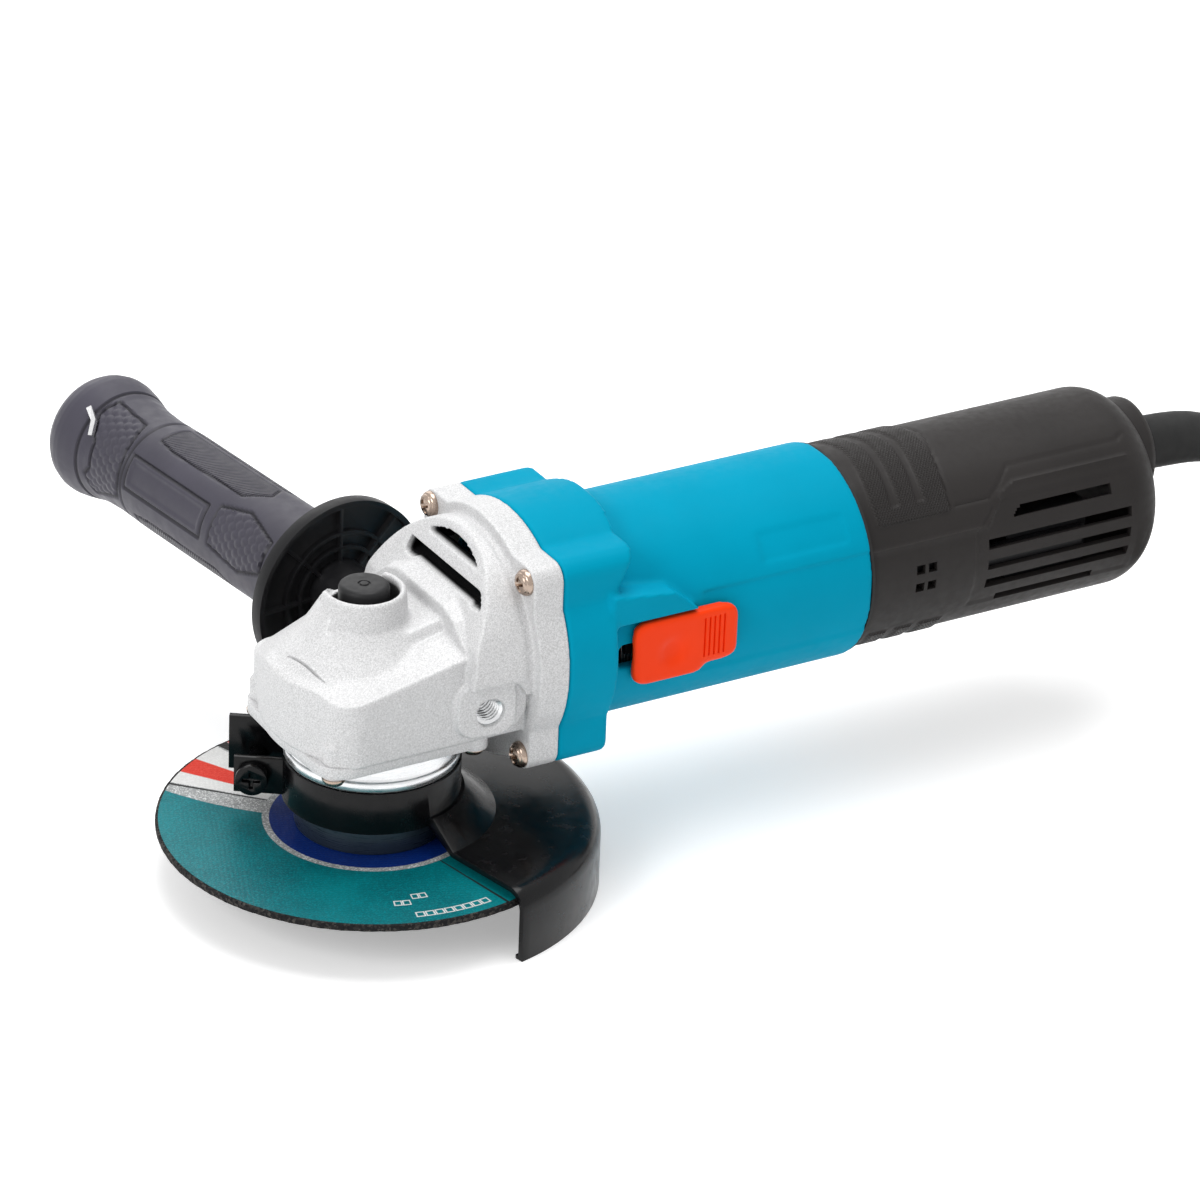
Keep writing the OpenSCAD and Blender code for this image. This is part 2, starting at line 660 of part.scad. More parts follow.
// ---------------------------------------------------------------- motor housing
module motor_housing() {
  slot_x = [58, stem_x[1] + 1];
  color("deepskyblue") seat() difference() {
    union() {
      front_block();
      on_motor_axis(joint_x) cylinder(r = barrel_r, h = cover_x - joint_x);
      on_motor_axis(cover_x - 1) cylinder(r = spigot_r, h = spigot_end - cover_x + 1);
      switch_hood();
    }
    on_motor_axis(joint_x - 1) cylinder(r = 28, h = block_len + 1.5);
    on_motor_axis(joint_x) cylinder(r = bore_r, h = cover_x - joint_x - 4);
    on_motor_axis(joint_x) cylinder(r = spigot_in, h = 130);
    box([slot_x[0], -barrel_r - 1, stem_z[0] - 0.5], [slot_x[1], -20, stem_z[1] + 0.5]);
    box([cover_x - 6, -bore_r - 0.5, rod_z[0] - 0.5], [spigot_end + 1, -20, rod_z[1] + 0.5]);
    on_motor_axis(joint_x - 1) at_flange_screws() cylinder(r = 1.9, h = block_len - 2);
    on_motor_axis(cover_x) translate([0, 0, 6]) rotate([0, 90, 0]) cylinder(r = 1.6, h = 40);
  }
  // ring behind the stator, rear wall with air holes, and the rear bearing's hub
  color("deepskyblue") seat() difference() {
    union() {
      on_motor_axis(screw_ring_x) ring(bore_r, stator_bore + 3.1, screw_ring_len);
      on_motor_axis(end_wall[0]) cylinder(r = spigot_in, h = end_wall[1] - end_wall[0]);
      on_motor_axis(end_wall[0]) cylinder(r = rear_race + 3.6, h = rear_seat[1] - end_wall[0]);
    }
    on_motor_axis(100) cylinder(r = 7, h = 60);
    on_motor_axis(rear_seat[0]) cylinder(r = rear_race + 1.2, h = 20);
    for (a = [45:90:315]) on_motor_axis(end_wall[0] - 1) rotate([0, 0, a]) {
      translate([19.4, 0, 0]) cylinder(r = 3.6, h = 10);
    }
    on_motor_axis(screw_ring_x - 1) at_stator_screws() cylinder(r = 1.7, h = 20);
    box([screw_ring_x - 1, -bore_r - 1, rod_z[0] - 0.5], [screw_ring_x + 8, rod_y[1] + 0.5, rod_z[1] + 0.5]);
    box([end_wall[0] - 1, -bore_r, rod_z[0] - 0.5], [end_wall[1] + 1, rod_y[1] + 0.5, rod_z[1] + 0.5]);
  }
}

// The front block; its rear face leans back above the barrel's shoulder.
module front_block() {
  top_len = 8.5;
  intersection() {
    on_motor_axis(joint_x) linear_extrude(height = block_len + top_len) lobed_outline();
    translate([0, 60, axis_h]) rotate([90, 0, 0]) linear_extrude(height = 120)
      polygon([[joint_x, -40], [block_end, -40], [block_end, 15], [block_end + top_len, 33],
        [block_end + top_len, 40], [joint_x, 40]]);
  }
}

// Brow over the slide switch, running back from the front block.
module switch_hood() {
  difference() {
    translate([0, -24, 0]) rotate([90, 0, 0]) linear_extrude(height = 8.2)
      polygon([[block_end - 1, slider_z[1] + 0.8], [81, slider_z[1] + 0.8], [73, axis_h + 16],
        [block_end - 1, axis_h + 18.4]]);
    on_motor_axis(0) cylinder(r = bore_r + 1, h = 120);
  }
}

module at_stator_screws() {
  for (x = [-22.2, 22.2]) translate([x, 0, 0]) children();
}

module fan_baffle() {
  color("white") seat() on_motor_axis(block_end + 0.5 - baffle_t) ring(bore_r + 2, bore_r - 6.5, baffle_t);
}

module stator_core() {
  color("silver") seat() difference() {
    intersection() {
      on_motor_axis(core_x) cylinder(r = bore_r, h = core_len);
      box([core_x - 1, -flat_y, 0], [core_end + 1, flat_y, 100]);
    }
    on_motor_axis(core_x - 1) cylinder(r = stator_bore, h = core_len + 2);
    on_motor_axis(core_x - 1) at_stator_screws() cylinder(r = 1.8, h = core_len + 2);
  }
}

module stator_coils() {
  color("peru") seat() {
    on_motor_axis(core_x - 5.5) ring(stator_bore + 2.4, stator_bore + 0.3, 5.5);
    on_motor_axis(core_end) ring(stator_bore + 2.4, stator_bore + 0.3, 6.5);
  }
}

module stator_screws() {
  color("silver") seat() on_motor_axis(core_x) at_stator_screws() pan_screw(2.8, 2, 1.7, core_len + 4.5);
}

module brush_frame(hand) {
  translate([brush_x, 0, axis_h]) rotate([hand > 0 ? 0 : 180, 0, 0]) children();
}

module brush_holders() {
  color("gold") seat() for (hand = [-1, 1]) brush_frame(hand) difference() {
    translate([-brush_len / 2, -4, commutator_r + 1.5]) cube([brush_len, 8, bore_r - 2.2 - commutator_r]);
    translate([-brush_len / 2 + 1, -3, 0]) cube([brush_len - 2, 6, 24.6]);
  }
}

module carbon_brushes() {
  color("black") seat() for (hand = [-1, 1]) brush_frame(hand) {
    translate([-brush_len / 2 + 1.1, -2.9, commutator_r + gap]) cube([brush_len - 2.2, 5.8, 8.5]);
  }
}

module brush_springs() {
  turns = 4;
  low = commutator_r + gap + 8.5;
  rise = 24.6 - low - 0.7;
  coil = [for (i = [0:turns * 12]) [2 * cos(30 * i), 2 * sin(30 * i), low + 0.35 + rise * i / (turns * 12)]];
  color("silver") seat() for (hand = [-1, 1]) brush_frame(hand) sweep(coil, [for (p = coil) 0.35], 6);
}

// ---------------------------------------------------------------- rear cover
module rear_cover() {
  r_end = cover_r - tail_round;
  inner = cover_r - cover_wall;
  inner_round = tail_round - cover_wall;
  color("dimgray") seat() difference() {
    union() {
      on_motor_axis(cover_x) cylinder(r = cover_r, h = cover_len - tail_round);
      on_motor_axis(cover_x) cylinder(r = r_end, h = cover_len);
      on_motor_axis(tail_x - tail_round) rotate_extrude() translate([r_end, 0]) circle(r = tail_round);
      translate([tail_x - 13, 0, cord_z]) rotate([0, 90, 0]) cylinder(r = sleeve_r + 3, h = 14.5);
    }
    difference() {
      union() {
        on_motor_axis(cover_x - 1) cylinder(r = inner, h = cover_len - tail_round + 1);
        on_motor_axis(cover_x + 20) cylinder(r = r_end, h = cover_len - 20 - 2.6);
        on_motor_axis(tail_x - tail_round) rotate_extrude() translate([r_end, 0]) circle(r = inner_round);
      }
      // saddles that carry the switch and the capacitor, and the cord's post
      for (x = [switch_box[0].x - 2 - gap, switch_box[1].x + gap]) box([x, -23.5, 0], [x + 2, 23.5, axis_h - 2]);
      box([clamp_x - 7, -9, 0], [clamp_x + 7, 9, cord_z - cord_r - 1.6]);
    }
    translate([tail_x - 20, 0, cord_z]) rotate([0, 90, 0]) cylinder(r = sleeve_r, h = 30);
    vents();
    translate([cover_x + 6, 0, 0]) cylinder(r = 1.7, h = axis_h);
    translate([cover_x + 6, 0, 0]) cylinder(r = 3.6, h = axis_h - cover_r + 1.2);
  }
}

// Air slots and the small square openings, the same on both sides.
module vents() {
  slot_h = 3;
  for (hand = [0, 1]) mirror([0, hand, 0]) {
    translate([vent_x, 0, axis_h]) {
      for (z = [-7.6, -1.5, 4.7]) box([0, 20, z - slot_h / 2], [vent_len, 40, z + slot_h / 2]);
      box([5, 18, -14.6], [vent_len - 10, 40, -12.6]);
      box([8, 16, 10.6], [vent_len - 6, 40, 13.4]);
    }
    translate([cover_x + 15, 0, axis_h]) {
      for (x = [0, 3.6], z = [-4.4, 1]) box([x, 20, z], [x + 2.7, 40, z + 2.7]);
    }
  }
}

module rear_cover_screw() {
  color("silver") seat() translate([cover_x + 6, 0, axis_h - cover_r + 1.2]) {
    pan_screw(3.2, 1.8, 1.6, 3.1);
  }
}

module switch_body() {
  color("black") seat() box(switch_box[0], switch_box[1]);
}

module capacitor() {
  color("gold") seat() box([switch_box[0].x - 2, -6, axis_h - 2], [switch_box[1].x + 2, 8, axis_h + 13]);
}

module cord_clamp() {
  color("black") seat() difference() {
    box([clamp_x - 5, -9, cord_z - cord_r - 1.6], [clamp_x + 5, 9, cord_z + cord_r + 2]);
    translate([clamp_x - 15, 0, cord_z]) rotate([0, 90, 0]) cylinder(r = cord_r, h = 30);
    for (y = [-6.4, 6.4]) translate([clamp_x, y, 0]) cylinder(r = 1.5, h = 2 * axis_h);
  }
}

module clamp_screws() {
  z = cord_z + cord_r + 2;
  color("silver") seat() for (y = [-6.4, 6.4]) translate([clamp_x, y, z]) rotate([180, 0, 0]) {
    pan_screw(2.5, 1.6, 1.5, 2 * cord_r + 3.6);
  }
}

module internal_leads() {
  sheath_end = clamp_x - 9;
  color("black") seat() {
    translate([sheath_end, 0, cord_z]) rotate([0, 90, 0]) {
      cylinder(r = cord_r, h = sleeve_route[0].x - sheath_end);
    }
    for (y = [-1.6, 1.6]) translate([sheath_end, y, cord_z]) {
      sweep([[1, 0, 0], [-1, -4, -0.5], [-2.4, -9, -1.5], [-6, -13, -3]], [1, 1, 1, 1], 8);
    }
  }
}

// ---------------------------------------------------------------- motor's turning parts
module motor_shaft() {
  tip = 10.5;
  color("silver") seat() {
    on_motor_axis(tip) cylinder(r = nose_r, h = pinion_back - tip);
    on_motor_axis(pinion_back) cylinder(r = shaft_r, h = end_wall[0] - pinion_back);
    on_motor_axis(front_seat[1]) cylinder(r = shaft_r + 1.4, h = 4);
    on_motor_axis(end_wall[0]) cylinder(r = rear_shaft_r, h = rear_seat[1] - end_wall[0]);
  }
}

module pinion_nut() {
  nut_t = 4;
  color("dimgray") seat() on_motor_axis(face_k * gear_pr - nut_t) difference() {
    cylinder(r = 4.2, h = nut_t, $fn = 6);
    translate([0, 0, -1]) cylinder(r = nose_r, h = nut_t + 2);
  }
}

module cooling_fan() {
  blades = 14;
  fan_x = [joint_x + 2, block_end - 3];
  color("white") seat() {
    on_motor_axis(fan_x[0]) ring(fan_r, shaft_r, 1.6);
    on_motor_axis(fan_x[0]) ring(shaft_r + 4, shaft_r, fan_x[1] - fan_x[0]);
    on_motor_axis(fan_x[0]) for (i = [0:blades - 1]) rotate([0, 0, 360 * i / blades]) {
      translate([14, -0.7, 0]) rotate([0, 0, 24]) cube([fan_r - 14.2, 1.4, fan_x[1] - fan_x[0]]);
    }
  }
}

module armature_core() {
  slots = 12;
  color("silver") seat() on_motor_axis(core_x) difference() {
    ring(armature_r, shaft_r, core_len);
    for (i = [0:slots - 1]) rotate([0, 0, 360 * i / slots]) {
      translate([armature_r - 3, -0.9, -1]) cube([4, 1.8, core_len + 2]);
    }
  }
}

module armature_windings() {
  color("peru") seat() {
    on_motor_axis(core_x - 5) ring(armature_r - 1, shaft_r, 5);
    on_motor_axis(core_end) ring(armature_r - 1, shaft_r, 10);
  }
}

module commutator() {
  bars = 24;
  start = core_end + 10;
  color("chocolate") seat() on_motor_axis(start) difference() {
    union() {
      ring(commutator_r, shaft_r, 18);
      ring(commutator_r + 1.2, shaft_r, 1.6);
    }
    for (i = [0:bars - 1]) rotate([0, 0, 360 * i / bars]) {
      translate([commutator_r - 0.6, -0.15, 2]) cube([2, 0.3, 20]);
    }
  }
}

// ---------------------------------------------------------------- side handle
module handle_stud() {
  color("silver") seat() socket_frame(1) translate([0, 0, boss_out - socket_len + 0.6]) {
    cylinder(d = socket_d, h = socket_len + 17);
  }
}

module handle_flange() {
  plate = [25, 26.5];
  core_r = 8.6;
  color("dimgray") seat() socket_frame(1) difference() {
    union() {
      translate([0, 0, boss_out]) cylinder(r1 = 7, r2 = 9.4, h = plate[0] - boss_out);
      translate([0, 0, plate[0]]) cylinder(r = hand_disc_r, h = plate[1] - plate[0]);
      translate([0, 0, plate[0] - 2.4]) ring(hand_disc_r, hand_disc_r - 1.6, 3);
      for (r = [12.6, 17]) translate([0, 0, plate[0] - 1.6]) ring(r + 1, r, 2);
      for (a = [0:45:315]) rotate([0, 0, a]) {
        translate([9, -0.5, plate[0] - 1.6]) cube([hand_disc_r - 10, 1, 2]);
      }
      translate([0, 0, plate[1] - 0.5]) cylinder(r = core_r, h = handle_len - 16 - plate[1]);
    }
    translate([0, 0, 0]) cylinder(d = socket_d, h = boss_out + 17.7);
  }
}

module handle_grip() {
  foot = 26.5;
  core_r = 8.6;
  end = handle_len;
  color("slategray") seat() socket_frame(1) rotate_extrude() polygon([[core_r, foot],
    [grip_r - 1.8, foot], [grip_r - 0.6, foot + 2.5], [grip_r, foot + 9], [grip_r, end - 44],
    [grip_r - 0.3, end - 32], [grip_r, end - 24], [grip_r + 0.8, end - 19.5], [grip_r + 2, end - 16],
    [knob_r - 0.7, end - 12.5], [knob_r, end - 9.5], [knob_r, end - 7.5], [knob_r - 0.6, end - 5],
    [knob_r - 1.8, end - 2.8], [knob_r - 3.6, end - 1.2], [knob_r - 6, end - 0.3], [knob_r - 8.5, end],
    [0, end], [0, end - 16.5], [core_r, end - 16.5]]);
}

// ---------------------------------------------------------------- guard
module wheel_guard() {
  round_r = 6;
  collar_r = 24;
  color("black") seat() difference() {
    union() {
      translate([0, 0, collar_bottom]) cylinder(r = collar_r, h = collar_top - collar_bottom);
      rotate([0, 0, guard_from]) rotate_extrude(angle = guard_sweep, $fn = 120) {
        polygon([[22.5, collar_bottom], [33, cover_h - sheet_t], [35, cover_h - sheet_t],
          [35, cover_h], [33.5, cover_h], [25, collar_bottom + 2.4], [22.5, collar_bottom + 2.4]]);
        translate([34, cover_h - sheet_t]) square([guard_r - round_r - 34, sheet_t]);
        translate([guard_r - round_r, cover_h - round_r]) intersection() {
          difference() {
            circle(r = round_r);
            circle(r = round_r - sheet_t);
          }
          square(round_r + 1);
        }
        translate([guard_r - sheet_t, -skirt_depth]) square([sheet_t, skirt_depth + cover_h - round_r]);
        translate([guard_r - sheet_t - 1, -skirt_depth]) square([sheet_t, 1.2]);
      }
      rotate([0, 0, ear_angle]) {
        box([22, ear_split / 2, collar_bottom + 1], [36, ear_split / 2 + sheet_t, collar_top - 0.4]);
        box([22, -ear_split / 2 - sheet_t, collar_bottom + 1], [39, -ear_split / 2, collar_top - 0.4]);
        box([25, -ear_split / 2 - sheet_t, collar_top - 1], [39, -ear_split / 2, collar_top + 5]);
      }
    }
    cylinder(r = neck_r + fit, h = 40);
    rotate([0, 0, ear_angle]) translate([15, -ear_split / 2, collar_bottom - 1]) cube([30, ear_split, 30]);
    clamp_axis() cylinder(r = 2.6, h = 40, center = true);
  }
}

// The clamp screw's axis across the ears, with local +Z towards the nut.
module clamp_axis() {
  rotate([0, 0, ear_angle]) translate([31, 0, (collar_bottom + collar_top) / 2]) rotate([90, 0, 0]) children();
}

module guard_screw() {
  outer = ear_split / 2 + sheet_t;
  color("black") seat() clamp_axis() translate([0, 0, -outer]) pan_screw(4.4, 3, 2.5, 2 * outer + 6);
}

module guard_nut() {
  outer = ear_split / 2 + sheet_t;
  color("dimgray") seat() clamp_axis() translate([0, 0, outer]) difference() {
    cylinder(r = 4.6, h = 4, $fn = 6);
    translate([0, 0, -1]) cylinder(r = 2.5, h = 6);
  }
}

// ---------------------------------------------------------------- controls
module lock_button() {
  cap_bottom = button_floor + button_travel + 1;
  color("black") seat() {
    difference() {
      translate([button_x, 0, cap_bottom]) cylinder(r = button_r, h = button_top - cap_bottom);
      translate([button_x, 0, cap_bottom - 1]) cylinder(r = button_r - button_wall, h = button_top - cap_bottom - 1);
    }
    translate([pin_x, 0, pin_bottom]) cylinder(r = pin_r, h = button_top - 1 - pin_bottom);
  }
}

module lock_spring() {
  turns = 5;
  wire = 0.4;
  low = button_floor + wire + 0.05;
  high = button_top - 2 - wire - 0.05;
  centre = button_x + 1.8;
  color("silver") seat() sweep([for (i = [0:turns * 12])
    [centre + 2.6 * cos(30 * i), 2.6 * sin(30 * i), low + (high - low) * i / (turns * 12)]],
    [for (i = [0:turns * 12]) wire], 6);
}

module switch_slider() {
  step = slider_x + slider_len * 0.6;
  color("orangered") seat() {
    difference() {
      translate([0, -27.2, 0]) rotate([90, 0, 0]) linear_extrude(height = 5.2) {
        round_rect([slider_x, slider_z[0]], [step + 4, slider_z[1]], 4);
        round_rect([step - 8, slider_z[0] + 2], [slider_x + slider_len, slider_z[1]], 4);
      }
      on_motor_axis(0) cylinder(r = barrel_r + gap, h = 200);
    }
    box([stem_x[0], -30.6, stem_z[0]], [stem_x[1], rod_y[0], stem_z[1]]);
  }
}

module switch_rod() {
  color("black") seat() box([slider_x + 1, rod_y[0], rod_z[0]], [rod_end, rod_y[1], rod_z[1]]);
}

// ---------------------------------------------------------------- mains lead
module cord_sleeve() {
  color("black") seat() sweep(sleeve_route, [sleeve_r, sleeve_r, sleeve_r, sleeve_r,
    sleeve_r * 0.93, sleeve_r * 0.8, cord_r + 0.8], 16);
}

module power_cord() {
  color("black") seat() sweep(cord_route, [for (p = cord_route) cord_r], 10);
}

module plug_lead() {
  color("black") seat() sweep(plug_route, [for (p = plug_route) cord_r], 10);
}

module cord_coil() {
  color("black") seat() translate([coil_centre.x, coil_centre.y, 0]) rotate_extrude()
    round_rect([coil_in, floor_z], [coil_out, floor_z + coil_h], cord_r);
}

module cord_tie() {
  width = 12;
  thick = 1;
  color("dimgray") seat() translate([coil_centre.x, coil_centre.y, floor_z]) rotate([0, 0, 120]) {
    difference() {
      translate([coil_in - thick, -width / 2, 0]) cube([coil_out - coil_in + 2 * thick, width, coil_h + thick]);
      rotate_extrude() translate([0, -1]) square([coil_in, coil_h + 1]);
      rotate_extrude() translate([coil_in - 0.01, -1]) square([coil_out - coil_in + 0.01, coil_h + 1]);
    }
  }
}

module plug_frame() {
  translate(plug_at) rotate([0, -90, 0]) children();
}

module plug_body() {
  boot = 18;
  color("black") seat() plug_frame() {
    cylinder(r1 = cord_r + 0.6, r2 = 7, h = boot);
    translate([0, 0, boot]) linear_extrude(height = 26) round_rect([-plug_half, -17.5], [plug_half, 17.5], 8);
  }
}

module plug_pins() {
  color("silver") seat() plug_frame() for (y = [-9.5, 9.5]) {
    translate([0, y, 44]) cylinder(r = 2.4, h = 19);
  }
}

gear_housing();
bearing_box();
bearing_box_screws();
flange_screws();
motor_housing();
rear_cover();
rear_cover_screw();
fan_baffle();
stator_core();
stator_coils();
stator_screws();
brush_holders();
carbon_brushes();
brush_springs();
switch_body();
capacitor();
cord_clamp();
clamp_screws();
internal_leads();
spindle_bearing_race();
spindle_bearing_balls();
spindle_bush();
dust_seal();
rear_bearing_seat();
handle_stud();
handle_flange();
handle_grip();
cord_sleeve();
power_cord();
cord_coil();
cord_tie();
plug_lead();
plug_body();
plug_pins();
spindle_shaft();
bevel_gear();
spindle_circlip();
spindle_bearing_inner();
inner_flange();
cutting_disc();
disc_ring();
outer_nut();
motor_shaft();
pinion();
pinion_nut();
cooling_fan();
armature_core();
armature_windings();
commutator();
lock_button();
lock_spring();
switch_slider();
switch_rod();
wheel_guard();
guard_screw();
guard_nut();
motor_bearing_races();
motor_bearing_balls();
motor_bearing_inners();
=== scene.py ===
"""Angle grinder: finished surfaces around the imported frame.

Lengths are in millimetres and angles in degrees unless a comment says otherwise; spot() makes
the scene's metres. A height called d is counted from the disc's upper face.
"""
import math

import bmesh
import bpy
from mathutils import Matrix, Vector


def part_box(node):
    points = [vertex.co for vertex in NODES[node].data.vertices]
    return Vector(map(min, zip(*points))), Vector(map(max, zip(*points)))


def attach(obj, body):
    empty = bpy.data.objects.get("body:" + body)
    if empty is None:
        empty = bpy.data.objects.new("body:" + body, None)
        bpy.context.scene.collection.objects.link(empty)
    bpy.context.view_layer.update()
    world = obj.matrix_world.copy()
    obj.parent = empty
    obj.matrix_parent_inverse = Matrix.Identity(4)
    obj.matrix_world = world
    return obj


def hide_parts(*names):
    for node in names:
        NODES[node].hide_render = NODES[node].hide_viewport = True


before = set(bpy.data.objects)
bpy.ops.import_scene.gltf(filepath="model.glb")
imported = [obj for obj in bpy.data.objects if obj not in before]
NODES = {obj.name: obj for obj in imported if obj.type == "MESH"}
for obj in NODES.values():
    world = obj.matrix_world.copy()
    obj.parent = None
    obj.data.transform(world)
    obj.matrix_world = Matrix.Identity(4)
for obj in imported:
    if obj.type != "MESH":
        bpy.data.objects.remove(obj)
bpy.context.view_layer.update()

MM = 0.001
DEG = math.radians(1)
DISC_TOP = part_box("cutting_disc")[1].z           # metres
DISC_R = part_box("cutting_disc")[1].x / MM
FLOOR_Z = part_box("wheel_guard")[0].z             # metres
MOTOR_D = 50
HEAD_HALF_W = 26.5
ARCH_R = 31.5
BARREL_R = 29.8
COVER_R = 28.0
COVER_X = 137.4
TAIL_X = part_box("rear_cover")[1].x / MM - 1.5
BUTTON_X = -3.4
HANDLE_X, HANDLE_D = 19.6, 41.2                  # where the handle's axis crosses the head's side
LEAN = 6.7 * DEG                                 # how far that axis leans towards the nose


def spot(x, y, d):
    return Vector((x * MM, y * MM, DISC_TOP + d * MM))


def polar(radius, angle):
    a = math.radians(angle)
    return radius * math.cos(a), radius * math.sin(a)


# ---- camera
def make_camera():
    right = Vector((0.8633392, -0.50340816, 0.0350094))
    up = Vector((0.20420424, 0.4119653, 0.88802321))
    back = Vector((-0.46146079, -0.75951618, 0.45846387))
    data = bpy.data.cameras.new("camera")
    data.sensor_width = 36
    data.lens = 203.2
    data.clip_start, data.clip_end = 0.05, 20
    camera = bpy.data.objects.new("camera", data)
    turn = Matrix((right, up, back)).transposed()
    camera.matrix_world = Matrix.Translation((-0.771, -1.3828, 0.8984)) @ turn.to_4x4()
    bpy.context.scene.collection.objects.link(camera)
    bpy.context.scene.camera = camera


make_camera()


# ---- shader helpers
def tone(colour, factor):
    return tuple(min(c * factor, 1.0) for c in colour)


class Graph:
    """A new material, with short calls for building its node tree."""

    def __init__(self, name, colour, rough, metallic=0.0, **sockets):
        self.material = bpy.data.materials.new(name)
        self.material.use_nodes = True
        self.tree = self.material.node_tree
        self.shader = self.tree.nodes["Principled BSDF"]
        self.normal = None
        plain = {"Base Color": colour, "Roughness": rough, "Metallic": metallic}
        plain.update((key.replace("_", " "), value) for key, value in sockets.items())
        for key, value in plain.items():
            self.put(self.shader.inputs[key], value)

    def add(self, kind, inputs=None, **props):
        """A node with its properties set, and its inputs linked or given values."""
        node = self.tree.nodes.new("ShaderNode" + kind)
        for key, value in props.items():
            setattr(node, key, value)
        for key, value in (inputs or {}).items():
            self.put(node.inputs[key], value)
        return node

    def put(self, socket, value):
        if isinstance(value, bpy.types.NodeSocket):
            self.tree.links.new(value, socket)
        else:
            socket.default_value = (*value, 1) if socket.type == "RGBA" else value

    def place(self):
        return self.add("TexCoord").outputs["Object"]

    def uv(self):
        return self.add("TexCoord").outputs["UV"]

    def stretch(self, vector, scale=(1, 1, 1), turn=0.0):
        """Scales a vector and turns it about Z, in radians."""
        inputs = {"Vector": vector, "Scale": scale, "Rotation": (0, 0, turn)}
        return self.add("Mapping", inputs).outputs["Vector"]

    def noise(self, scale, detail=3, rough=0.5, vector=None):
        vector = vector or self.place()
        inputs = {"Vector": vector, "Scale": scale, "Detail": detail, "Roughness": rough}
        return self.add("TexNoise", inputs).outputs["Fac"]

    def cells(self, scale, output="Distance"):
        return self.add("TexVoronoi", {"Vector": self.place(), "Scale": scale}).outputs[output]

    def waves(self, scale, vector, distortion=0.0, direction="X"):
        inputs = {"Vector": vector, "Scale": scale, "Distortion": distortion}
        return self.add("TexWave", inputs, bands_direction=direction).outputs["Fac"]

    def lines(self, scale, vector, turn):
        return self.waves(scale, self.stretch(vector, turn=turn))

    def math(self, kind, a, b=0.0):
        return self.add("Math", {0: a, 1: b}, operation=kind).outputs[0]

    def times(self, a, b):
        return self.math("MULTIPLY", a, b)

    def minus(self, a, b):
        return self.math("SUBTRACT", a, b)

    def spread(self, value, low, high, to_low=0.0, to_high=1.0):
        inputs = {"Value": value, "From Min": low, "From Max": high, "To Min": to_low,
                  "To Max": to_high}
        return self.add("MapRange", inputs).outputs["Result"]

    def patches(self, scale, low=0.0, high=1.0, detail=3):
        """Soft noise that runs from low to high."""
        return self.spread(self.noise(scale, detail), 0.3, 0.7, low, high)

    def band(self, value, low, high, soft=0.4):
        """1 where low < value < high."""
        return self.times(self.spread(value, low - soft / 2, low + soft / 2),
                          self.spread(value, high - soft / 2, high + soft / 2, 1.0, 0.0))

    def mix(self, factor, a, b):
        return self.add("Mix", {0: factor, 6: a, 7: b}, data_type="RGBA").outputs[2]

    def tones(self, factor, base, low, high):
        return self.mix(factor, tone(base, low), tone(base, high))

    def parts(self, vector):
        return self.add("SeparateXYZ", {0: vector}).outputs

    def attribute(self, name):
        return self.add("Attribute", attribute_name=name).outputs["Fac"]

    def colour(self, value):
        self.put(self.shader.inputs["Base Color"], value)

    def gloss(self, value):
        self.put(self.shader.inputs["Roughness"], value)

    def emboss(self, height, depth, strength=1.0):
        """Adds a layer of relief."""
        inputs = {"Height": height, "Distance": depth * MM, "Strength": strength}
        node = self.add("Bump", inputs)
        if self.normal:
            self.put(node.inputs["Normal"], self.normal)
        self.normal = node.outputs["Normal"]
        self.put(self.shader.inputs["Normal"], self.normal)

    def grain(self, scale, detail, depth, strength, rough=0.5):
        """Noise pressed into the relief."""
        self.emboss(self.noise(scale, detail, rough), depth, strength)

    def weave(self, depth, strength):
        """The glass mesh that is pressed into the disc."""
        place = self.place()
        one, two = (self.lines(260, place, turn) for turn in (0.4, 0.4 + math.pi / 2))
        self.emboss(self.times(one, two), depth, strength)


# ---- finishes
def cast_silver():
    """Sparkling silver paint over a die casting, with painted shade where inside is set."""
    base = (0.77, 0.77, 0.775)
    g = Graph("cast_silver", base, 0.45, 0.1, Specular_IOR_Level=0.2)
    flake = g.parts(g.cells(4200, "Color"))
    body = g.tones(g.patches(60, detail=4), base, 0.93, 1.05)
    body = g.mix(g.spread(g.noise(2600, 2, 0.7), 0.36, 0.64, 0.0, 0.75), tone(base, 0.70), body)
    body = g.mix(g.spread(flake[2], 0.0, 0.5, 0.4, 0.0), body, tone(base, 0.5))
    paint = g.mix(g.times(g.spread(flake[0], 0.45, 1.0), 0.5), body, (0.90, 0.90, 0.91))
    # painted shade: near-black mixed in by the inside attribute, for the louvre chamber and the
    # lock button's well
    g.colour(g.mix(g.attribute("inside"), paint, (0.012, 0.012, 0.013)))
    g.gloss(g.spread(flake[1], 0, 1, 0.34, 0.58))
    g.grain(2200, 3, 0.07, 0.5, 0.6)
    g.grain(170, 2, 0.25, 0.2)
    return g.material


def machined(name, base, metallic=1.0, rough=0.28, lathe=True):
    """Turned or ground metal with fine tool marks."""
    g = Graph(name, base, rough, metallic)
    fine = g.noise(900, 4, 0.6, g.stretch(g.place(), (0.15, 0.15, 4) if lathe else (1, 1, 1)))
    g.gloss(g.spread(fine, 0.3, 0.7, rough - 0.08, rough + 0.12))
    g.colour(g.tones(g.noise(140, 4), base, 0.86, 1.08))
    g.emboss(fine, 0.02, 0.4)
    return g.material


def plastic(name, base, rough, grain=2200, depth=0.03, vary=0.12, **sockets):
    """Moulded plastic with a spark-eroded grain."""
    g = Graph(name, base, rough, **sockets)
    g.colour(g.tones(g.patches(35), base, 1 - vary, 1 + vary))
    g.gloss(g.patches(400, rough - 0.06, rough + 0.07))
    g.grain(grain, 2, depth, 0.5, 0.6)
    return g.material


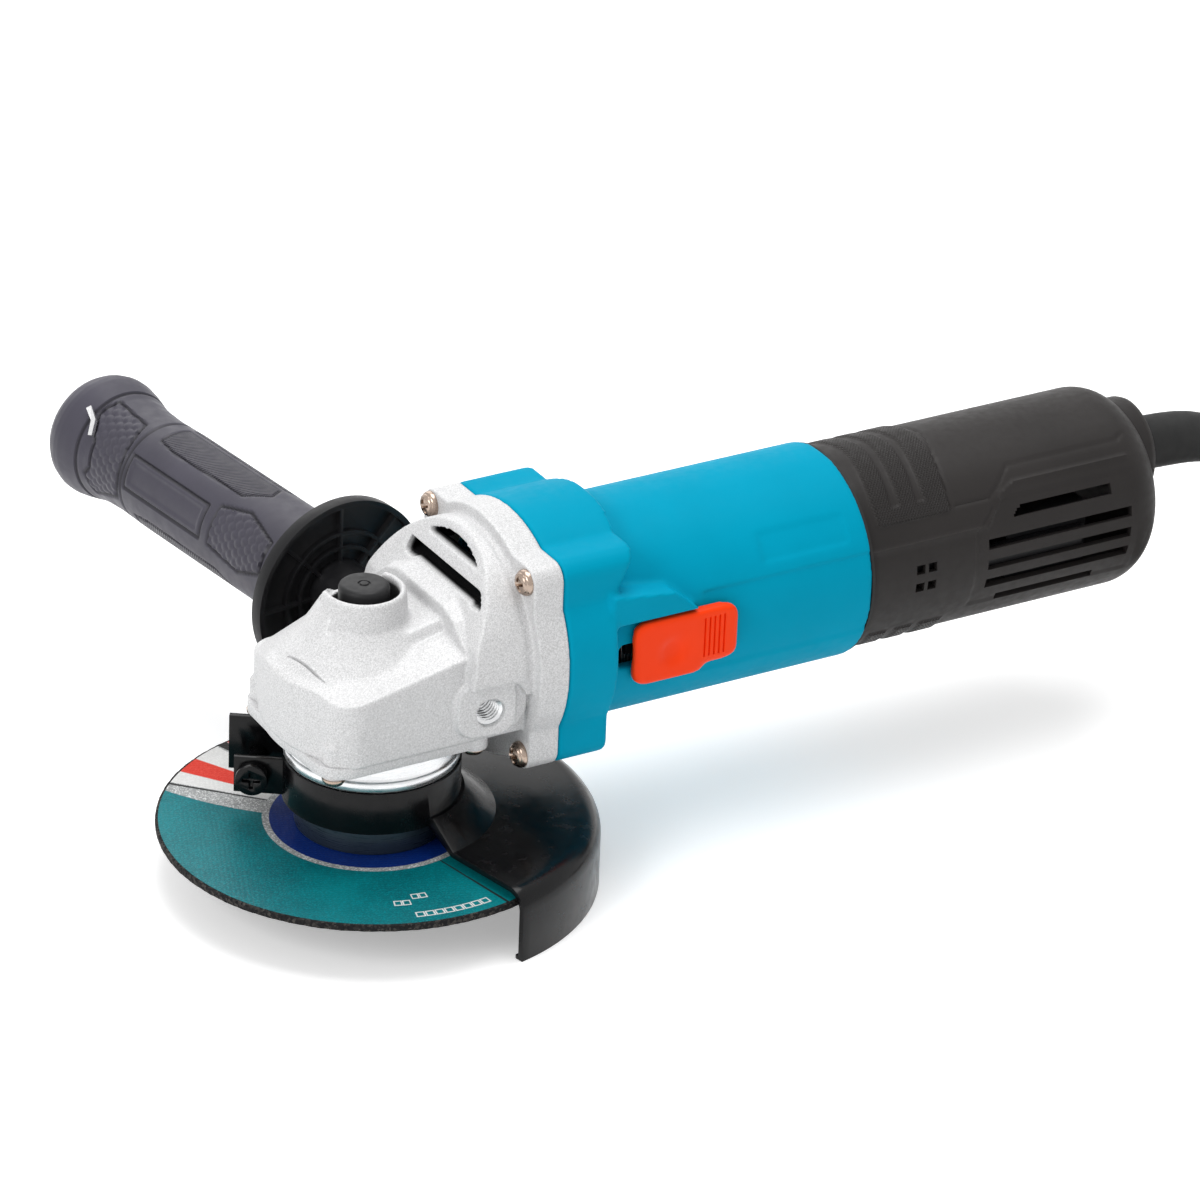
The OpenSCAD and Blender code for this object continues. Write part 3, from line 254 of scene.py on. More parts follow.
def hatched_charcoal():
    """The rear cover's plastic, with diagonal hatching where the mesh says so."""
    base = (0.022, 0.0195, 0.0188)
    g = Graph("charcoal_plastic", base, 0.5, Specular_IOR_Level=0.18)
    mask, uv = g.attribute("hatch"), g.uv()
    one, two = (g.lines(0.42, uv, math.radians(turn)) for turn in (38, -34))
    body = g.tones(g.patches(35), base, 0.88, 1.12)
    g.colour(g.mix(g.times(mask, 0.35), body, tone(base, 0.7)))
    g.gloss(g.patches(400, 0.42, 0.56))
    g.grain(2400, 2, 0.03, 0.5, 0.6)
    g.emboss(g.times(g.math("MAXIMUM", one, two), mask), 0.30, 0.9)
    return g.material


def grip_rubber():
    """Soft slate rubber; its hatching follows the grip's own UV map in millimetres."""
    base = (0.046, 0.043, 0.060)
    g = Graph("grip_rubber", base, 0.42, Specular_IOR_Level=0.35)
    mask = g.attribute("hatch")
    ribs = g.lines(0.36, g.uv(), math.radians(-32))
    body = g.tones(g.patches(40), base, 0.88, 1.12)
    # painted shade: the hatching is darker in its grooves, where ribs is low
    body = g.mix(g.times(mask, g.minus(0.6, g.times(ribs, 0.6))), body, tone(base, 0.3))
    # painted shade: near-black along the engraved lines, by their depth
    g.colour(g.mix(g.times(g.attribute("line"), 0.85), body, tone(base, 0.2)))
    g.gloss(g.patches(300, 0.40, 0.54))
    g.grain(2400, 2, 0.03, 0.4, 0.6)
    g.emboss(g.times(ribs, mask), 0.35, 0.9)
    return g.material


def black_paint():
    """Semi-gloss black stoving paint on pressed sheet."""
    base = (0.0025, 0.0025, 0.003)
    g = Graph("black_paint", base, 0.22, Specular_IOR_Level=0.22)
    g.colour(g.tones(g.noise(90, 4), base, 0.8, 1.3))
    g.gloss(g.patches(260, 0.17, 0.30, 4))
    g.grain(900, 2, 0.03, 0.35)
    g.grain(60, 2, 0.20, 0.12)
    return g.material


PRINTED_FIELDS = ((118, 126.5, "red"), (126.5, 133, "white"), (109, 118, "white"), (98, 105, "red"))
PRINTED_LINES = ((105.2, 108.4), (133.4, 134.4), (280.5, 281.3))
PRINTED_BOXES = ((52.8, 254.4, 277.6), (46.2, 249.0, 254.8), (43.4, 255.6, 261.4))  # rows' radii


def disc_print():
    """The disc's printed label. Its UV map holds the azimuth / 360 and the radius / 100."""
    g = Graph("disc_print", (0.0, 0.2, 0.24), 0.4, 0.05, Specular_IOR_Level=0.2)
    u, v, _ = g.parts(g.uv())
    azimuth, radius = g.times(u, 360), g.times(v, 100)
    flake = g.parts(g.cells(3000, "Color"))
    sparkle = g.spread(flake[0], 0.5, 1.0)

    def ink(amount, dull, bright):
        return g.mix(g.times(sparkle, amount), dull, bright)

    silver = g.mix(sparkle, (0.30, 0.31, 0.31), (0.75, 0.76, 0.76))
    teal = ink(0.5, (0.0, 0.105, 0.125), (0.0, 0.30, 0.33))
    teal = g.mix(g.spread(g.noise(28, 3), 0.35, 0.65), teal, g.mix(0.35, teal, (0.0, 0.33, 0.36)))
    inks = {"red": ink(0.35, (0.62, 0.035, 0.02), (0.85, 0.12, 0.08)),
            "white": ink(0.5, (0.66, 0.66, 0.65), (0.85, 0.85, 0.84))}
    lean = g.minus(azimuth, g.times(g.minus(56.7, radius), 0.36))
    face = g.mix(g.band(lean, 137.9, 284), silver, teal)
    for low, high, name in PRINTED_FIELDS:
        face = g.mix(g.band(azimuth, low, high), face, inks[name])
    for low, high in PRINTED_LINES:
        face = g.mix(g.band(azimuth, low, high, 0.3), face, (0.02, 0.02, 0.02))
    for out, low, high in PRINTED_BOXES:
        count = g.math("DIVIDE", g.minus(azimuth, low), 2.9)
        across = g.math("ABSOLUTE", g.minus(g.math("FRACT", count), 0.5))
        along = g.math("ABSOLUTE", g.minus(radius, out))
        edge = g.math("MAXIMUM", across, g.math("DIVIDE", along, 2.7))
        outline = g.times(g.spread(edge, 0.30, 0.35), g.spread(edge, 0.45, 0.49, 1.0, 0.0))
        face = g.mix(g.times(outline, g.band(azimuth, low, high, 0.1)), face, inks["white"])
    face = g.mix(g.spread(radius, 28.9, 29.1, 1.0, 0.0), face, silver)
    navy = ink(0.3, (0.002, 0.02, 0.16), (0.01, 0.07, 0.36))
    g.colour(g.mix(g.spread(radius, 27.0, 27.2, 1.0, 0.0), face, navy))
    g.gloss(g.spread(flake[1], 0, 1, 0.28, 0.5))
    g.weave(0.12, 0.25)
    g.grain(1800, 3, 0.04, 0.5)
    return g.material


def grit():
    """Bonded abrasive: dark resin with grains, and the glass mesh pressed into it."""
    g = Graph("grit", (0.015, 0.015, 0.015), 0.85, Specular_IOR_Level=0.2)
    grain = g.parts(g.cells(1500, "Color"))[0]
    g.colour(g.mix(g.spread(grain, 0.5, 1.0), (0.008, 0.008, 0.009), (0.06, 0.055, 0.05)))
    g.weave(0.25, 0.6)
    g.emboss(g.cells(1500), 0.25, 0.9)
    return g.material


def striped_metal(name, base, across, scale, metallic=0.9, rough=0.35):
    """Stacked sheets or wound wire: fine lines across one direction."""
    g = Graph(name, base, rough, metallic)
    lines = g.waves(scale, g.place(), 0.4, across)
    g.colour(g.tones(lines, base, 0.6, 1.1))
    g.gloss(g.patches(500, rough - 0.05, rough + 0.15))
    g.emboss(lines, 0.15, 0.8)
    return g.material


def pvc(name, base, rough=0.38):
    """Flexible cord sheath with a fine grain."""
    g = Graph(name, base, rough, Specular_IOR_Level=0.22)
    g.colour(g.tones(g.noise(80, 3), base, 0.85, 1.2))
    g.gloss(g.patches(300, rough - 0.06, rough + 0.1))
    g.grain(700, 3, 0.05, 0.4)
    return g.material


FINISH = {
    "cast": cast_silver(),
    "machined": machined("machined_alloy", (0.78, 0.79, 0.80), metallic=0.9, rough=0.26),
    "plated_screw": machined("plated_screw", (0.42, 0.33, 0.27), rough=0.22, lathe=False),
    "teal": plastic("teal_plastic", (0.0, 0.315, 0.485), 0.5, vary=0.04, Specular_IOR_Level=0.03),
    "cover": hatched_charcoal(),
    "black": plastic("black_plastic", (0.008, 0.008, 0.009), 0.42, Specular_IOR_Level=0.22),
    "button": plastic("button_plastic", (0.014, 0.014, 0.015), 0.45, Specular_IOR_Level=0.22),
    "orange": plastic("orange_plastic", (1.0, 0.052, 0.004), 0.34, grain=2600, depth=0.012,
                      vary=0.03, Specular_IOR_Level=0.12),
    "grip": grip_rubber(),
    "seal_rubber": pvc("seal_rubber", (0.02, 0.02, 0.02), rough=0.6),
    "sheath": pvc("cord_sheath", (0.008, 0.008, 0.009)),
    "white": plastic("white_plastic", (0.72, 0.72, 0.69), 0.45),
    "paint": black_paint(),
    "steel": machined("ground_steel", (0.58, 0.58, 0.59), rough=0.3),
    "silver_mark": machined("silver_mark", (0.80, 0.80, 0.81), metallic=0.9, rough=0.25,
                            lathe=False),
    "race": machined("bearing_steel", (0.70, 0.71, 0.73), rough=0.14),
    "gear": machined("gear_steel", (0.24, 0.23, 0.22), rough=0.34),
    "blued": machined("blued_steel", (0.045, 0.065, 0.085), metallic=0.6, rough=0.30),
    "bronze": machined("sintered_bronze", (0.55, 0.34, 0.16), rough=0.5),
    "brass": machined("brass", (0.76, 0.56, 0.25), rough=0.28),
    "copper": striped_metal("wound_copper", (0.70, 0.30, 0.13), across="Z", scale=300),
    "bars": striped_metal("commutator_bars", (0.72, 0.38, 0.22), across="Y", scale=90),
    "laminate": striped_metal("laminations", (0.36, 0.36, 0.37), across="X", scale=320),
    "carbon": plastic("carbon", (0.02, 0.02, 0.021), 0.7, grain=900, depth=0.08),
    "grit": grit(),
    "print": disc_print(),
    "capacitor": plastic("capacitor_yellow", (0.75, 0.45, 0.05), 0.3),
}


# ---- mesh helpers
def link(data, name):
    thing = bpy.data.objects.new(name, data)
    bpy.context.scene.collection.objects.link(thing)
    return thing


def to_object(mesh, name, recalc=True):
    """Turns a bmesh into an object of the scene."""
    if recalc:
        bmesh.ops.recalc_face_normals(mesh, faces=mesh.faces)
    data = bpy.data.meshes.new(name)
    mesh.to_mesh(data)
    mesh.free()
    return link(data, name)


def paint(data, finish):
    data.materials.clear()
    data.materials.append(FINISH[finish])


def dress(thing, finish, slot, *replaced, body="housing"):
    """Gives a finished piece its material and the body it rides on, and hides the nodes it stands
    for.
    """
    paint(thing.data, finish)
    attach(thing, body)
    if replaced:
        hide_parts(*replaced)
    return thing


def settle(thing):
    """Applies every modifier, leaving a plain mesh."""
    graph = bpy.context.evaluated_depsgraph_get()
    mesh = bpy.data.meshes.new_from_object(thing.evaluated_get(graph))
    thing.modifiers.clear()
    thing.data = mesh
    return thing


def shade(thing, angle=40):
    """Smooth shading, which breaks at edges sharper than the angle unless that is None."""
    for face in thing.data.polygons:
        face.use_smooth = True
    if angle:
        thing.data.set_sharp_from_angle(angle=math.radians(angle))
    return thing


def merged_copy(node, name):
    """A copy of a frame node with its loose triangles joined and flat faces made whole."""
    mesh = bmesh.new()
    mesh.from_mesh(NODES[node].data)
    bmesh.ops.remove_doubles(mesh, verts=mesh.verts, dist=0.002 * MM)
    bmesh.ops.dissolve_limit(mesh, angle_limit=math.radians(0.4), verts=mesh.verts,
                             edges=mesh.edges)
    return to_object(mesh, name, False)


def carve(thing, cutter, kind="DIFFERENCE"):
    modifier = thing.modifiers.new("carve", "BOOLEAN")
    modifier.object = cutter
    modifier.operation = kind
    modifier.solver = "EXACT"
    settle(thing)
    bpy.data.objects.remove(cutter)
    return thing


def merge(thing, other):
    """Puts another closed shell into the same mesh; soften() then makes them one skin."""
    mesh = bmesh.new()
    mesh.from_mesh(thing.data)
    mesh.from_mesh(other.data)
    mesh.to_mesh(thing.data)
    mesh.free()
    bpy.data.objects.remove(other)
    return thing


def round_edges(thing, width):
    modifier = thing.modifiers.new("edges", "BEVEL")
    modifier.width = width * MM
    modifier.segments = 2
    modifier.limit_method = "ANGLE"
    modifier.angle_limit = math.radians(32)
    modifier.miter_outer = "MITER_ARC"
    return shade(settle(thing))


def soften(thing, voxel, rounds, keep=1.0):
    """Turns shells into one cast skin with small fillets, keeping a share of its triangles."""
    remesh = thing.modifiers.new("skin", "REMESH")
    remesh.mode = "VOXEL"
    remesh.voxel_size = voxel * MM
    smooth = thing.modifiers.new("fillet", "SMOOTH")
    smooth.factor = 0.5
    smooth.iterations = rounds
    if keep < 1:
        thing.modifiers.new("thin", "DECIMATE").ratio = keep
    return shade(settle(thing), None)


def join_rings(mesh, rings):
    """Faces between rings of vertices, and a cap on each end."""
    for a, b in zip(rings, rings[1:]):
        for k in range(len(a)):
            n = (k + 1) % len(a)
            mesh.faces.new((a[k], b[k], b[n], a[n]))
    mesh.faces.new(rings[0])
    mesh.faces.new(rings[-1][::-1])


def prism(name, outline, low, high, place=spot):
    """A closed prism: outline in (u, v), from w = low to high, through place(u, v, w)."""
    mesh = bmesh.new()
    low_ring, high_ring = ([mesh.verts.new(place(u, v, w)) for u, v in outline]
                           for w in (low, high))
    for i in range(len(outline)):
        j = (i + 1) % len(outline)
        mesh.faces.new((low_ring[i], low_ring[j], high_ring[j], high_ring[i]))
    mesh.faces.new(low_ring[::-1])
    mesh.faces.new(high_ring)
    return to_object(mesh, name)


def turned(name, stations, place, columns=96, relief=None, holes=None, angles=None, masks=None,
           uv=None):
    """A surface of revolution through stations (along, radius), from one end to the other.

    place(along, radius, angle) gives a point, and relief() of the same lifts it off the surface.
    holes(along, angle) is true for cells left open. masks holds vertex attributes by name.
    uv(travel, angle) gives the map, travel being the way along the outline.
    """
    angles = angles or [360 * i / columns for i in range(columns)]
    count = len(angles)
    mesh = bmesh.new()
    layers = {key: mesh.verts.layers.float.new(key) for key in (masks or {})}
    uv_layer = mesh.loops.layers.uv.new("UVMap") if uv else None
    rows, travels = [], [0.0]
    for i, (along, radius) in enumerate(stations):
        before, after = stations[max(i - 1, 0)], stations[min(i + 1, len(stations) - 1)]
        da, dr = after[0] - before[0], after[1] - before[1]
        size = math.hypot(da, dr) or 1.0
        if i:
            travels.append(travels[-1] + math.hypot(along - before[0], radius - before[1]))
        row = []
        for angle in angles if radius > 1e-6 else [0]:
            lift = relief(along, radius, angle) if relief else 0.0
            vert = mesh.verts.new(place(along - dr / size * lift,
                                        max(radius + da / size * lift, 0.0), angle))
            for key, layer in layers.items():
                vert[layer] = masks[key](along, radius, angle)
            row.append(vert)
        rows.append(row)

    def cell(verts, i, j):
        face = mesh.faces.new(verts)
        if uv_layer:
            last = angles[(j + 1) % count] + (360 if j + 1 == count else 0)
            turns = (angles[j], angles[j], last, last)
            ways = (travels[i], travels[i + 1], travels[i + 1], travels[i])
            for loop, way, turn in zip(face.loops, ways, turns):
                loop[uv_layer].uv = uv(way, turn)

    for i, (a, b) in enumerate(zip(rows, rows[1:])):
        middle = (stations[i][0] + stations[i + 1][0]) / 2
        for j in range(count):
            k = (j + 1) % count
            gap = angles[k] - angles[j] if k else angles[0] + 360 - angles[j]
            if (holes and holes(middle, angles[j] + gap / 2)) or len(a) == len(b) == 1:
                continue
            if len(a) == 1:
                mesh.faces.new((a[0], b[j], b[k]))
            elif len(b) == 1:
                mesh.faces.new((a[j], b[0], a[k]))
            else:
                cell((a[j], b[j], b[k], a[k]), i, j)
    loose = [v for v in mesh.verts if not v.link_faces]
    bmesh.ops.delete(mesh, geom=loose, context="VERTS")
    return shade(to_object(mesh, name))


def on_motor(along, radius, angle):
    """Motor axis: angle 0 faces the near side and 90 faces up."""
    side, up = polar(radius, angle)
    return spot(along, -side, MOTOR_D + up)


def on_upright(x):
    """An axis parallel to the spindle's, at x."""
    def place(along, radius, angle):
        u, v = polar(radius, angle)
        return spot(x + u, v, along)
    return place


def beside_head(u, v, w, hand):
    """w counts outward along the handle's axis from the head's side; hand 1 is the handle's."""
    return spot(HANDLE_X + u * math.cos(LEAN) - w * math.sin(LEAN),
                hand * (HEAD_HALF_W + u * math.sin(LEAN) + w * math.cos(LEAN)), HANDLE_D + v)


def on_handle(along, radius, angle, hand=1):
    x, y = polar(radius, angle)
    return beside_head(x, -y, along, hand)


def ramp(value, low, high):
    """Smooth step from 0 at low to 1 at high."""
    t = min(1.0, max(0.0, (value - low) / (high - low)))
    return t * t * (3 - 2 * t)


def bump_between(value, low, high, soft):
    """1 between low and high, easing to 0 over soft outside."""
    return min(ramp(value, low - soft, low), ramp(value, high + soft, high))


def groove(distance, half, depth):
    """Depth of a round-bottomed groove at this distance from its line."""
    return -depth * max(0.0, 1 - (distance / half) ** 2) if abs(distance) < half else 0.0


def segment_distance(x, y, a, b):
    dx, dy = b[0] - a[0], b[1] - a[1]
    t = max(0.0, min(1.0, ((x - a[0]) * dx + (y - a[1]) * dy) / (dx * dx + dy * dy)))
    return math.hypot(x - a[0] - t * dx, y - a[1] - t * dy)


def polyline_distance(x, y, points, closed=False):
    ends = points[1:] + points[:1] if closed else points[1:]
    return min(segment_distance(x, y, a, b) for a, b in zip(points, ends))


def inside(x, y, outline):
    hit = False
    for (x1, y1), (x2, y2) in zip(outline, outline[1:] + outline[:1]):
        if (y1 > y) != (y2 > y) and x < (x2 - x1) * (y - y1) / (y2 - y1) + x1:
            hit = not hit
    return hit


def circle_points(x, y, radius, steps=24):
    return [(x + u, y + v) for u, v in (polar(radius, 360 * k / steps) for k in range(steps))]


def rounded_outline(centres, radius, step):
    """Quarter circles round four centres, counter-clockwise from the first quadrant's."""
    return [(x + u, y + v) for quarter, (x, y) in enumerate(centres)
            for u, v in (polar(radius, 90 * quarter + a) for a in range(0, 91, step))]


# ---- cord
CORD_D = 7.2 * MM                    # metres
SLEEVE_ROUTE = [(231, 0, 59), (243, 0, 59), (256, 0, 58.2), (264, 0, 56.6), (272, 0, 54),
                (280, 0, 50.3), (287, 0, 46)]
LAYERS = (-12.8, -5.6)               # the heights of the coil's two layers
CORD_ROUTE = [(287, 0, 46), (294.5, 0.2, 41.4), (303.5, 2.8, 36), (314, 6, 29.8), (323, 9, 23.6),
              (332, 11.5, 17.2), (341, 12.5, 10.8), (350, 11, 4.4), (358, 6.5, -1.6),
              (364.5, -0.5, -6.8), (369, -9.5, -10.6), (371.5, -19.5, -12.4)]
CORD_ROUTE += [(x, y, LAYERS[0]) for x, y in (
    (372.5, -30), (372, -41), (369.5, -52), (365, -62), (358.5, -71), (350, -79), (340, -85),
    (329, -88.5), (318, -89.2), (309, -88.3))]
PLUG_ROUTE = [(362.4, -38, -5.6), (361.5, -49, -4.6), (357, -59, -1.8), (349, -66.5, 1.8),
              (340, -71.3, 5.4), (333, -72, 6.8), (326, -72, 6.8)]
COIL_CENTRE = (312, -38)
COIL_R = 50.4                        # the outermost turn's middle
COIL_TURNS = 5.74
COIL_START = -93.4


def coil_points():
    """Turns wound clockwise, spiralling in on the lower layer and out again on the upper one."""
    pitch = CORD_D / MM
    points = []
    steps = int(COIL_TURNS * 40)
    for i in range(1, steps):
        turn = COIL_TURNS * i / steps
        from_middle = turn - COIL_TURNS / 2
        u, v = polar(COIL_R - pitch * (COIL_TURNS / 2 - abs(from_middle)), COIL_START - 360 * turn)
        climb = ramp(from_middle, -0.25, 0.25)
        points.append((COIL_CENTRE[0] + u, COIL_CENTRE[1] + v,
                       LAYERS[0] + (LAYERS[1] - LAYERS[0]) * climb))
    return points


def smooth_path(points, steps):
    """Catmull-Rom curve through the points, in the scene's metres."""
    made = []
    for i in range(len(points) - 1):
        near = (max(i - 1, 0), i, i + 1, min(i + 2, len(points) - 1))
        p0, p1, p2, p3 = (Vector(points[n]) for n in near)
        for k in range(steps):
            t = k / steps
            made.append(0.5 * ((2 * p1) + (p2 - p0) * t + (2 * p0 - 5 * p1 + 4 * p2 - p3) * t * t
                               + (3 * p1 - p0 - 3 * p2 + p3) * t ** 3))
    return [spot(*p) for p in made + [Vector(points[-1])]]


def make_cord():
    line = smooth_path(CORD_ROUTE + coil_points() + PLUG_ROUTE, 3)
    curve = bpy.data.curves.new("mains_cord", "CURVE")
    curve.dimensions = "3D"
    curve.bevel_depth = CORD_D / 2
    curve.bevel_resolution = 5
    curve.use_fill_caps = True
    spline = curve.splines.new("POLY")
    spline.points.add(len(line) - 1)
    for point, place in zip(spline.points, line):
        point.co = (*place, 1)
    spline.use_smooth = True
    cord = dress(link(curve, "mains_cord"), "sheath", "black_rubber", "power_cord", "cord_coil",
                 "plug_lead")
    return cord, line, sum((b - a).length for a, b in zip(line, line[1:]))


CORD, CORD_LINE, CORD_LENGTH = make_cord()


def tube(name, path, radii, columns=40):
    """A round tube of changing radius along a path, closed at both ends; all in metres."""
    mesh = bmesh.new()
    rings = []
    side = Vector((0, 1, 0))
    for i, point in enumerate(path):
        ahead = (path[min(i + 1, len(path) - 1)] - path[max(i - 1, 0)]).normalized()
        side = (side - side.dot(ahead) * ahead).normalized()
        other = ahead.cross(side)
        turns = (polar(1, 360 * k / columns) for k in range(columns))
        rings.append([mesh.verts.new(point + radii[i] * (u * side + v * other)) for u, v in turns])
    join_rings(mesh, rings)
    return shade(to_object(mesh, name), 50)


def make_sleeve():
    """Strain relief: a smooth boot whose free end is grooved so that it bends evenly."""
    path = smooth_path(SLEEVE_ROUTE, 14)
    radii = []
    for i in range(len(path)):
        t = i / (len(path) - 1)
        radius = 7.6 - 2.9 * max(0.0, (t - 0.25) / 0.75) ** 1.4
        if 0.52 < t < 0.95:
            radius -= 0.55 * max(0.0, math.sin(math.tau * (t - 0.52) / 0.086)) ** 2
        if t > 0.97:
            radius -= 0.5 * (t - 0.97) / 0.03
        radii.append(radius * MM)
    dress(tube("cord_boot", path, radii), "seal_rubber", "black_rubber", "cord_sleeve")


make_sleeve()


def make_plug():
    """Two-pin moulded plug with finger ribs, lying on the coil."""
    end, side, up = PLUG_ROUTE[-1]

    def on_plug(along, radius, angle):
        u, v = polar(radius, angle)
        return spot(end - along, side + u, up + v)

    boot = [(0, 3.6), (0, 4.9)]
    for i in range(1, 37):
        t = i / 36
        dip = 0.7 * max(0.0, math.sin(math.tau * t * 5)) if 0.05 < t < 0.85 else 0
        boot.append((18 * t, 4.9 + 2.0 * t ** 1.5 - dip))
    body = [(18.0, 7.3), (19.2, 8.3), (21, 8.6), (24, 8.6)]
    for i in range(9):
        body += [(start + 1.5 * i, r)
                 for start, r in ((25, 8.6), (25.4, 8.1), (25.9, 8.1), (26.2, 8.6))]
    body += [(41, 8.6), (43, 8.5), (43.8, 7.9), (44, 7.0), (44, 0)]
    plug = turned("plug", [(0, 0)] + boot + body, on_plug, columns=64)
    return dress(plug, "black", "black_plastic", "plug_body")


PLUG = make_plug()
tuple(CORD_LINE[0])


# ---- gear housing
def highest(values, blend):
    """The largest of some heights, with a soft fillet where two are close."""
    top = max(values)
    return top + blend * math.log(sum(math.exp((v - top) / blend) for v in values))


def roof_height(x, y):
    """The cast head's top: a shelf, a raised ridge and the button's boss."""
    side = abs(y)
    crease = 48.7 + 0.216 * (x + 29.2)
    shelf = crease + 2.4 * min(1.0, max(0.0, (24.5 - side) / 8.5))
    shelf -= 0.42 * max(0.0, y - 9) + 0.10 * max(0.0, side - 24.0, -x - 26.6) ** 2
    reach = math.hypot(x - BUTTON_X, y)
    azimuth = math.degrees(math.atan2(y, x - BUTTON_X))
    hump = 58 - 0.91 * (reach - 16.6)
    plateau = highest([crease + 5.4, 63.6 - 0.95 * (reach - 9.6)], 0.6)
    start = -15.5 + 0.5 * max(0.0, side - 12)
    rise = ramp(16.6 - side, 0, 4.4) * ramp(x, start - 2, start + 3)
    ridge = shelf - 3 + (plateau - shelf + 3) * rise
    height = highest([shelf, hump, ridge], 0.35)
    facing = ramp(abs((azimuth - 152 + 180) % 360 - 180), 75, 35)
    apron = 69.8 - 1.7 * max(0.0, reach - 9.6)
    height = highest([height, apron * facing + (1 - facing) * (height - 4)], 0.5)
    if reach < 7.3:
        return 57.5
    return min(height, 61.4) if reach < 11.3 else height


def roof_block(low, step=0.5):
    """Closed block under the roof's surface, inside the head's rounded, bow-fronted outline."""
    corner, bow, front, half = 9.0, 42.0, 29.2, HEAD_HALF_W
    columns = round(2 * half / step) + 1
    rows = round((front + 13.5) / step) + 1
    mesh = bmesh.new()

    def bow_x(side):
        return -front + bow - math.sqrt(bow ** 2 - side ** 2)

    def clamp(x, side):
        deep = side - (half - corner)
        if deep <= 0:
            return max(x, bow_x(side))
        round_x = corner - math.sqrt(max(0.0, corner ** 2 - deep ** 2))
        return max(x, bow_x(half - corner) + round_x)

    tops, bottoms = [], []
    for i in range(rows):
        x = -front + step * i
        ys = [-half + 2 * half * j / (columns - 1) for j in range(columns)]
        points = [(clamp(x, abs(y)) + 0.0004 * (x + front), y) for y in ys]
        tops.append([mesh.verts.new(spot(px, y, roof_height(px, y))) for px, y in points])
        bottoms.append([mesh.verts.new(spot(px, y, low)) for px, y in points])
    last, edge = rows - 1, columns - 1
    for i in range(last):
        for j in range(edge):
            for grid in (tops, bottoms):
                mesh.faces.new((grid[i][j], grid[i + 1][j], grid[i + 1][j + 1], grid[i][j + 1]))
    rim = [(0, j) for j in range(edge)] + [(i, edge) for i in range(last)]
    rim += [(last, j) for j in range(edge, 0, -1)] + [(i, 0) for i in range(last, 0, -1)]
    for (i, j), (k, m) in zip(rim, rim[1:] + rim[:1]):
        mesh.faces.new((tops[i][j], tops[k][m], bottoms[k][m], bottoms[i][j]))
    return to_object(mesh, "roof")


BOX_SCREWS = ((-23, -21.2), (-23, 21.2), (18, -22.4), (18, 22.4))
LUGS = ((0.8, 0.8, 3.4), (0.7, -0.7, 3.4), (0, 0, 3.9), (0, 0, 3.9))     # each one's shift, radius
LOUVRES = ((-22.5, 17.6, 68.8, 72.2), (-22.5, -17, 67.9, 70), (13, 17.6, 67.9, 70),
           (-14, 12, 75.6, 79.4))                                        # y and d, from and to


def arch_rim():
    """The raised band that frames the louvre face and closes the slots' ends."""
    arc = [polar(ARCH_R + 0.3, a) for a in range(0, 181, 5)]
    arc += [polar(ARCH_R - 2.3, a) for a in range(180, -1, -5)]

    def place(y, d, deep):
        front = 14.3 + (d - 60) / (1.87 if d > 60 else 5)
        return spot(front + deep * (28.5 - front), y, d)

    return prism("rim", [(y, MOTOR_D + d) for y, d in arc], 0, 1, place)


def make_collar():
    """The lock button's ring, lower on the side towards the handle."""
    def on_collar(along, radius, angle):
        low = ramp(66 - abs((angle - 97 + 180) % 360 - 180), 0, 12)
        if along > 66:
            along = 66 + (along - 66) * (1 - 0.9 * low) - 1.3 * low
        return on_upright(BUTTON_X)(along, radius, angle)

    stations = [(58.2, 8.6), (58.2, 12.0), (63.5, 11.7), (69.2, 11.35), (69.9, 11.15), (70.2, 10.8),
                (70.25, 10.4), (70.2, 10.0), (69.9, 9.65), (69.3, 9.5), (68.3, 9.45), (62.2, 9.35),
                (61.9, 9.2), (61.8, 8.6), (61.8, 7.15), (58.2, 7.1), (58.2, 8.6)]
    return turned("collar", stations, on_collar, columns=120)


def make_head():
    """Die-cast gear head: a cast roof in place of the solid's sharp one, and filleted edges."""
    def on_side(u, v, w):
        return beside_head(u, v, w, -1)

    head = merged_copy("gear_housing", "gear_head")
    carve(head, prism("above", [(-40, -30), (13.2, -30), (13.2, 30), (-40, 30)], 46.5, 90))
    for y0, y1, low, high in LOUVRES:
        carve(head, prism("louvre", [(9, y0), (27.5, y0), (27.5, y1), (9, y1)], low, high))
    hole = circle_points(0, 0, 4.0, 30)
    centres = ((2.2, 4.4), (-4.4, 4.4), (-4.4, -1.8), (2.2, -1.8))
    pad = prism("pad", rounded_outline(centres, 5.0, 15), -6, 3.0, on_side)
    for thing in (head, pad):
        carve(thing, prism("bore", hole, -11, 5, on_side))
    for shell in (pad, roof_block(42.0), arch_rim(), make_collar()):
        merge(head, shell)
    for (x, y), (dx, dy, radius) in zip(BOX_SCREWS, LUGS):
        merge(head, prism("lug", circle_points(x + dx, y + dy, radius), 32.2, 38))
    soften(head, voxel=0.45, rounds=3, keep=0.58)
    line = [(-24.9, 2.2), (-24.3, 2.0), (-21.8, -13.6), (-22.4, -13.8)]
    carve(head, prism("line", line, 0, 12,
                      lambda u, v, w: spot(u, v, roof_height(u, v) - 0.4 + w)))
    # Painted shade: the inside attribute marks the lock button's well and the chamber behind the
    # louvres, which the cast material paints near-black.
    shadow = head.data.attributes.new("inside", "FLOAT", "POINT").data
    for vert in head.data.vertices:
        x, y, d = vert.co.x / MM, vert.co.y / MM, (vert.co.z - DISC_TOP) / MM
        behind = x - 14.9 - max(0.0, d - 60) / 1.87
        if math.hypot(x - BUTTON_X, y) < 9.8 and d < 69:
            shadow[vert.index].value = 0.95 * ramp(69 - d, 0, 1)
        elif math.hypot(y, d - MOTOR_D) < 29.0 and d > 66:
            shadow[vert.index].value = ramp(behind, 0.2, 1.4)
    dress(head, "cast", "cast_alloy", "gear_housing")


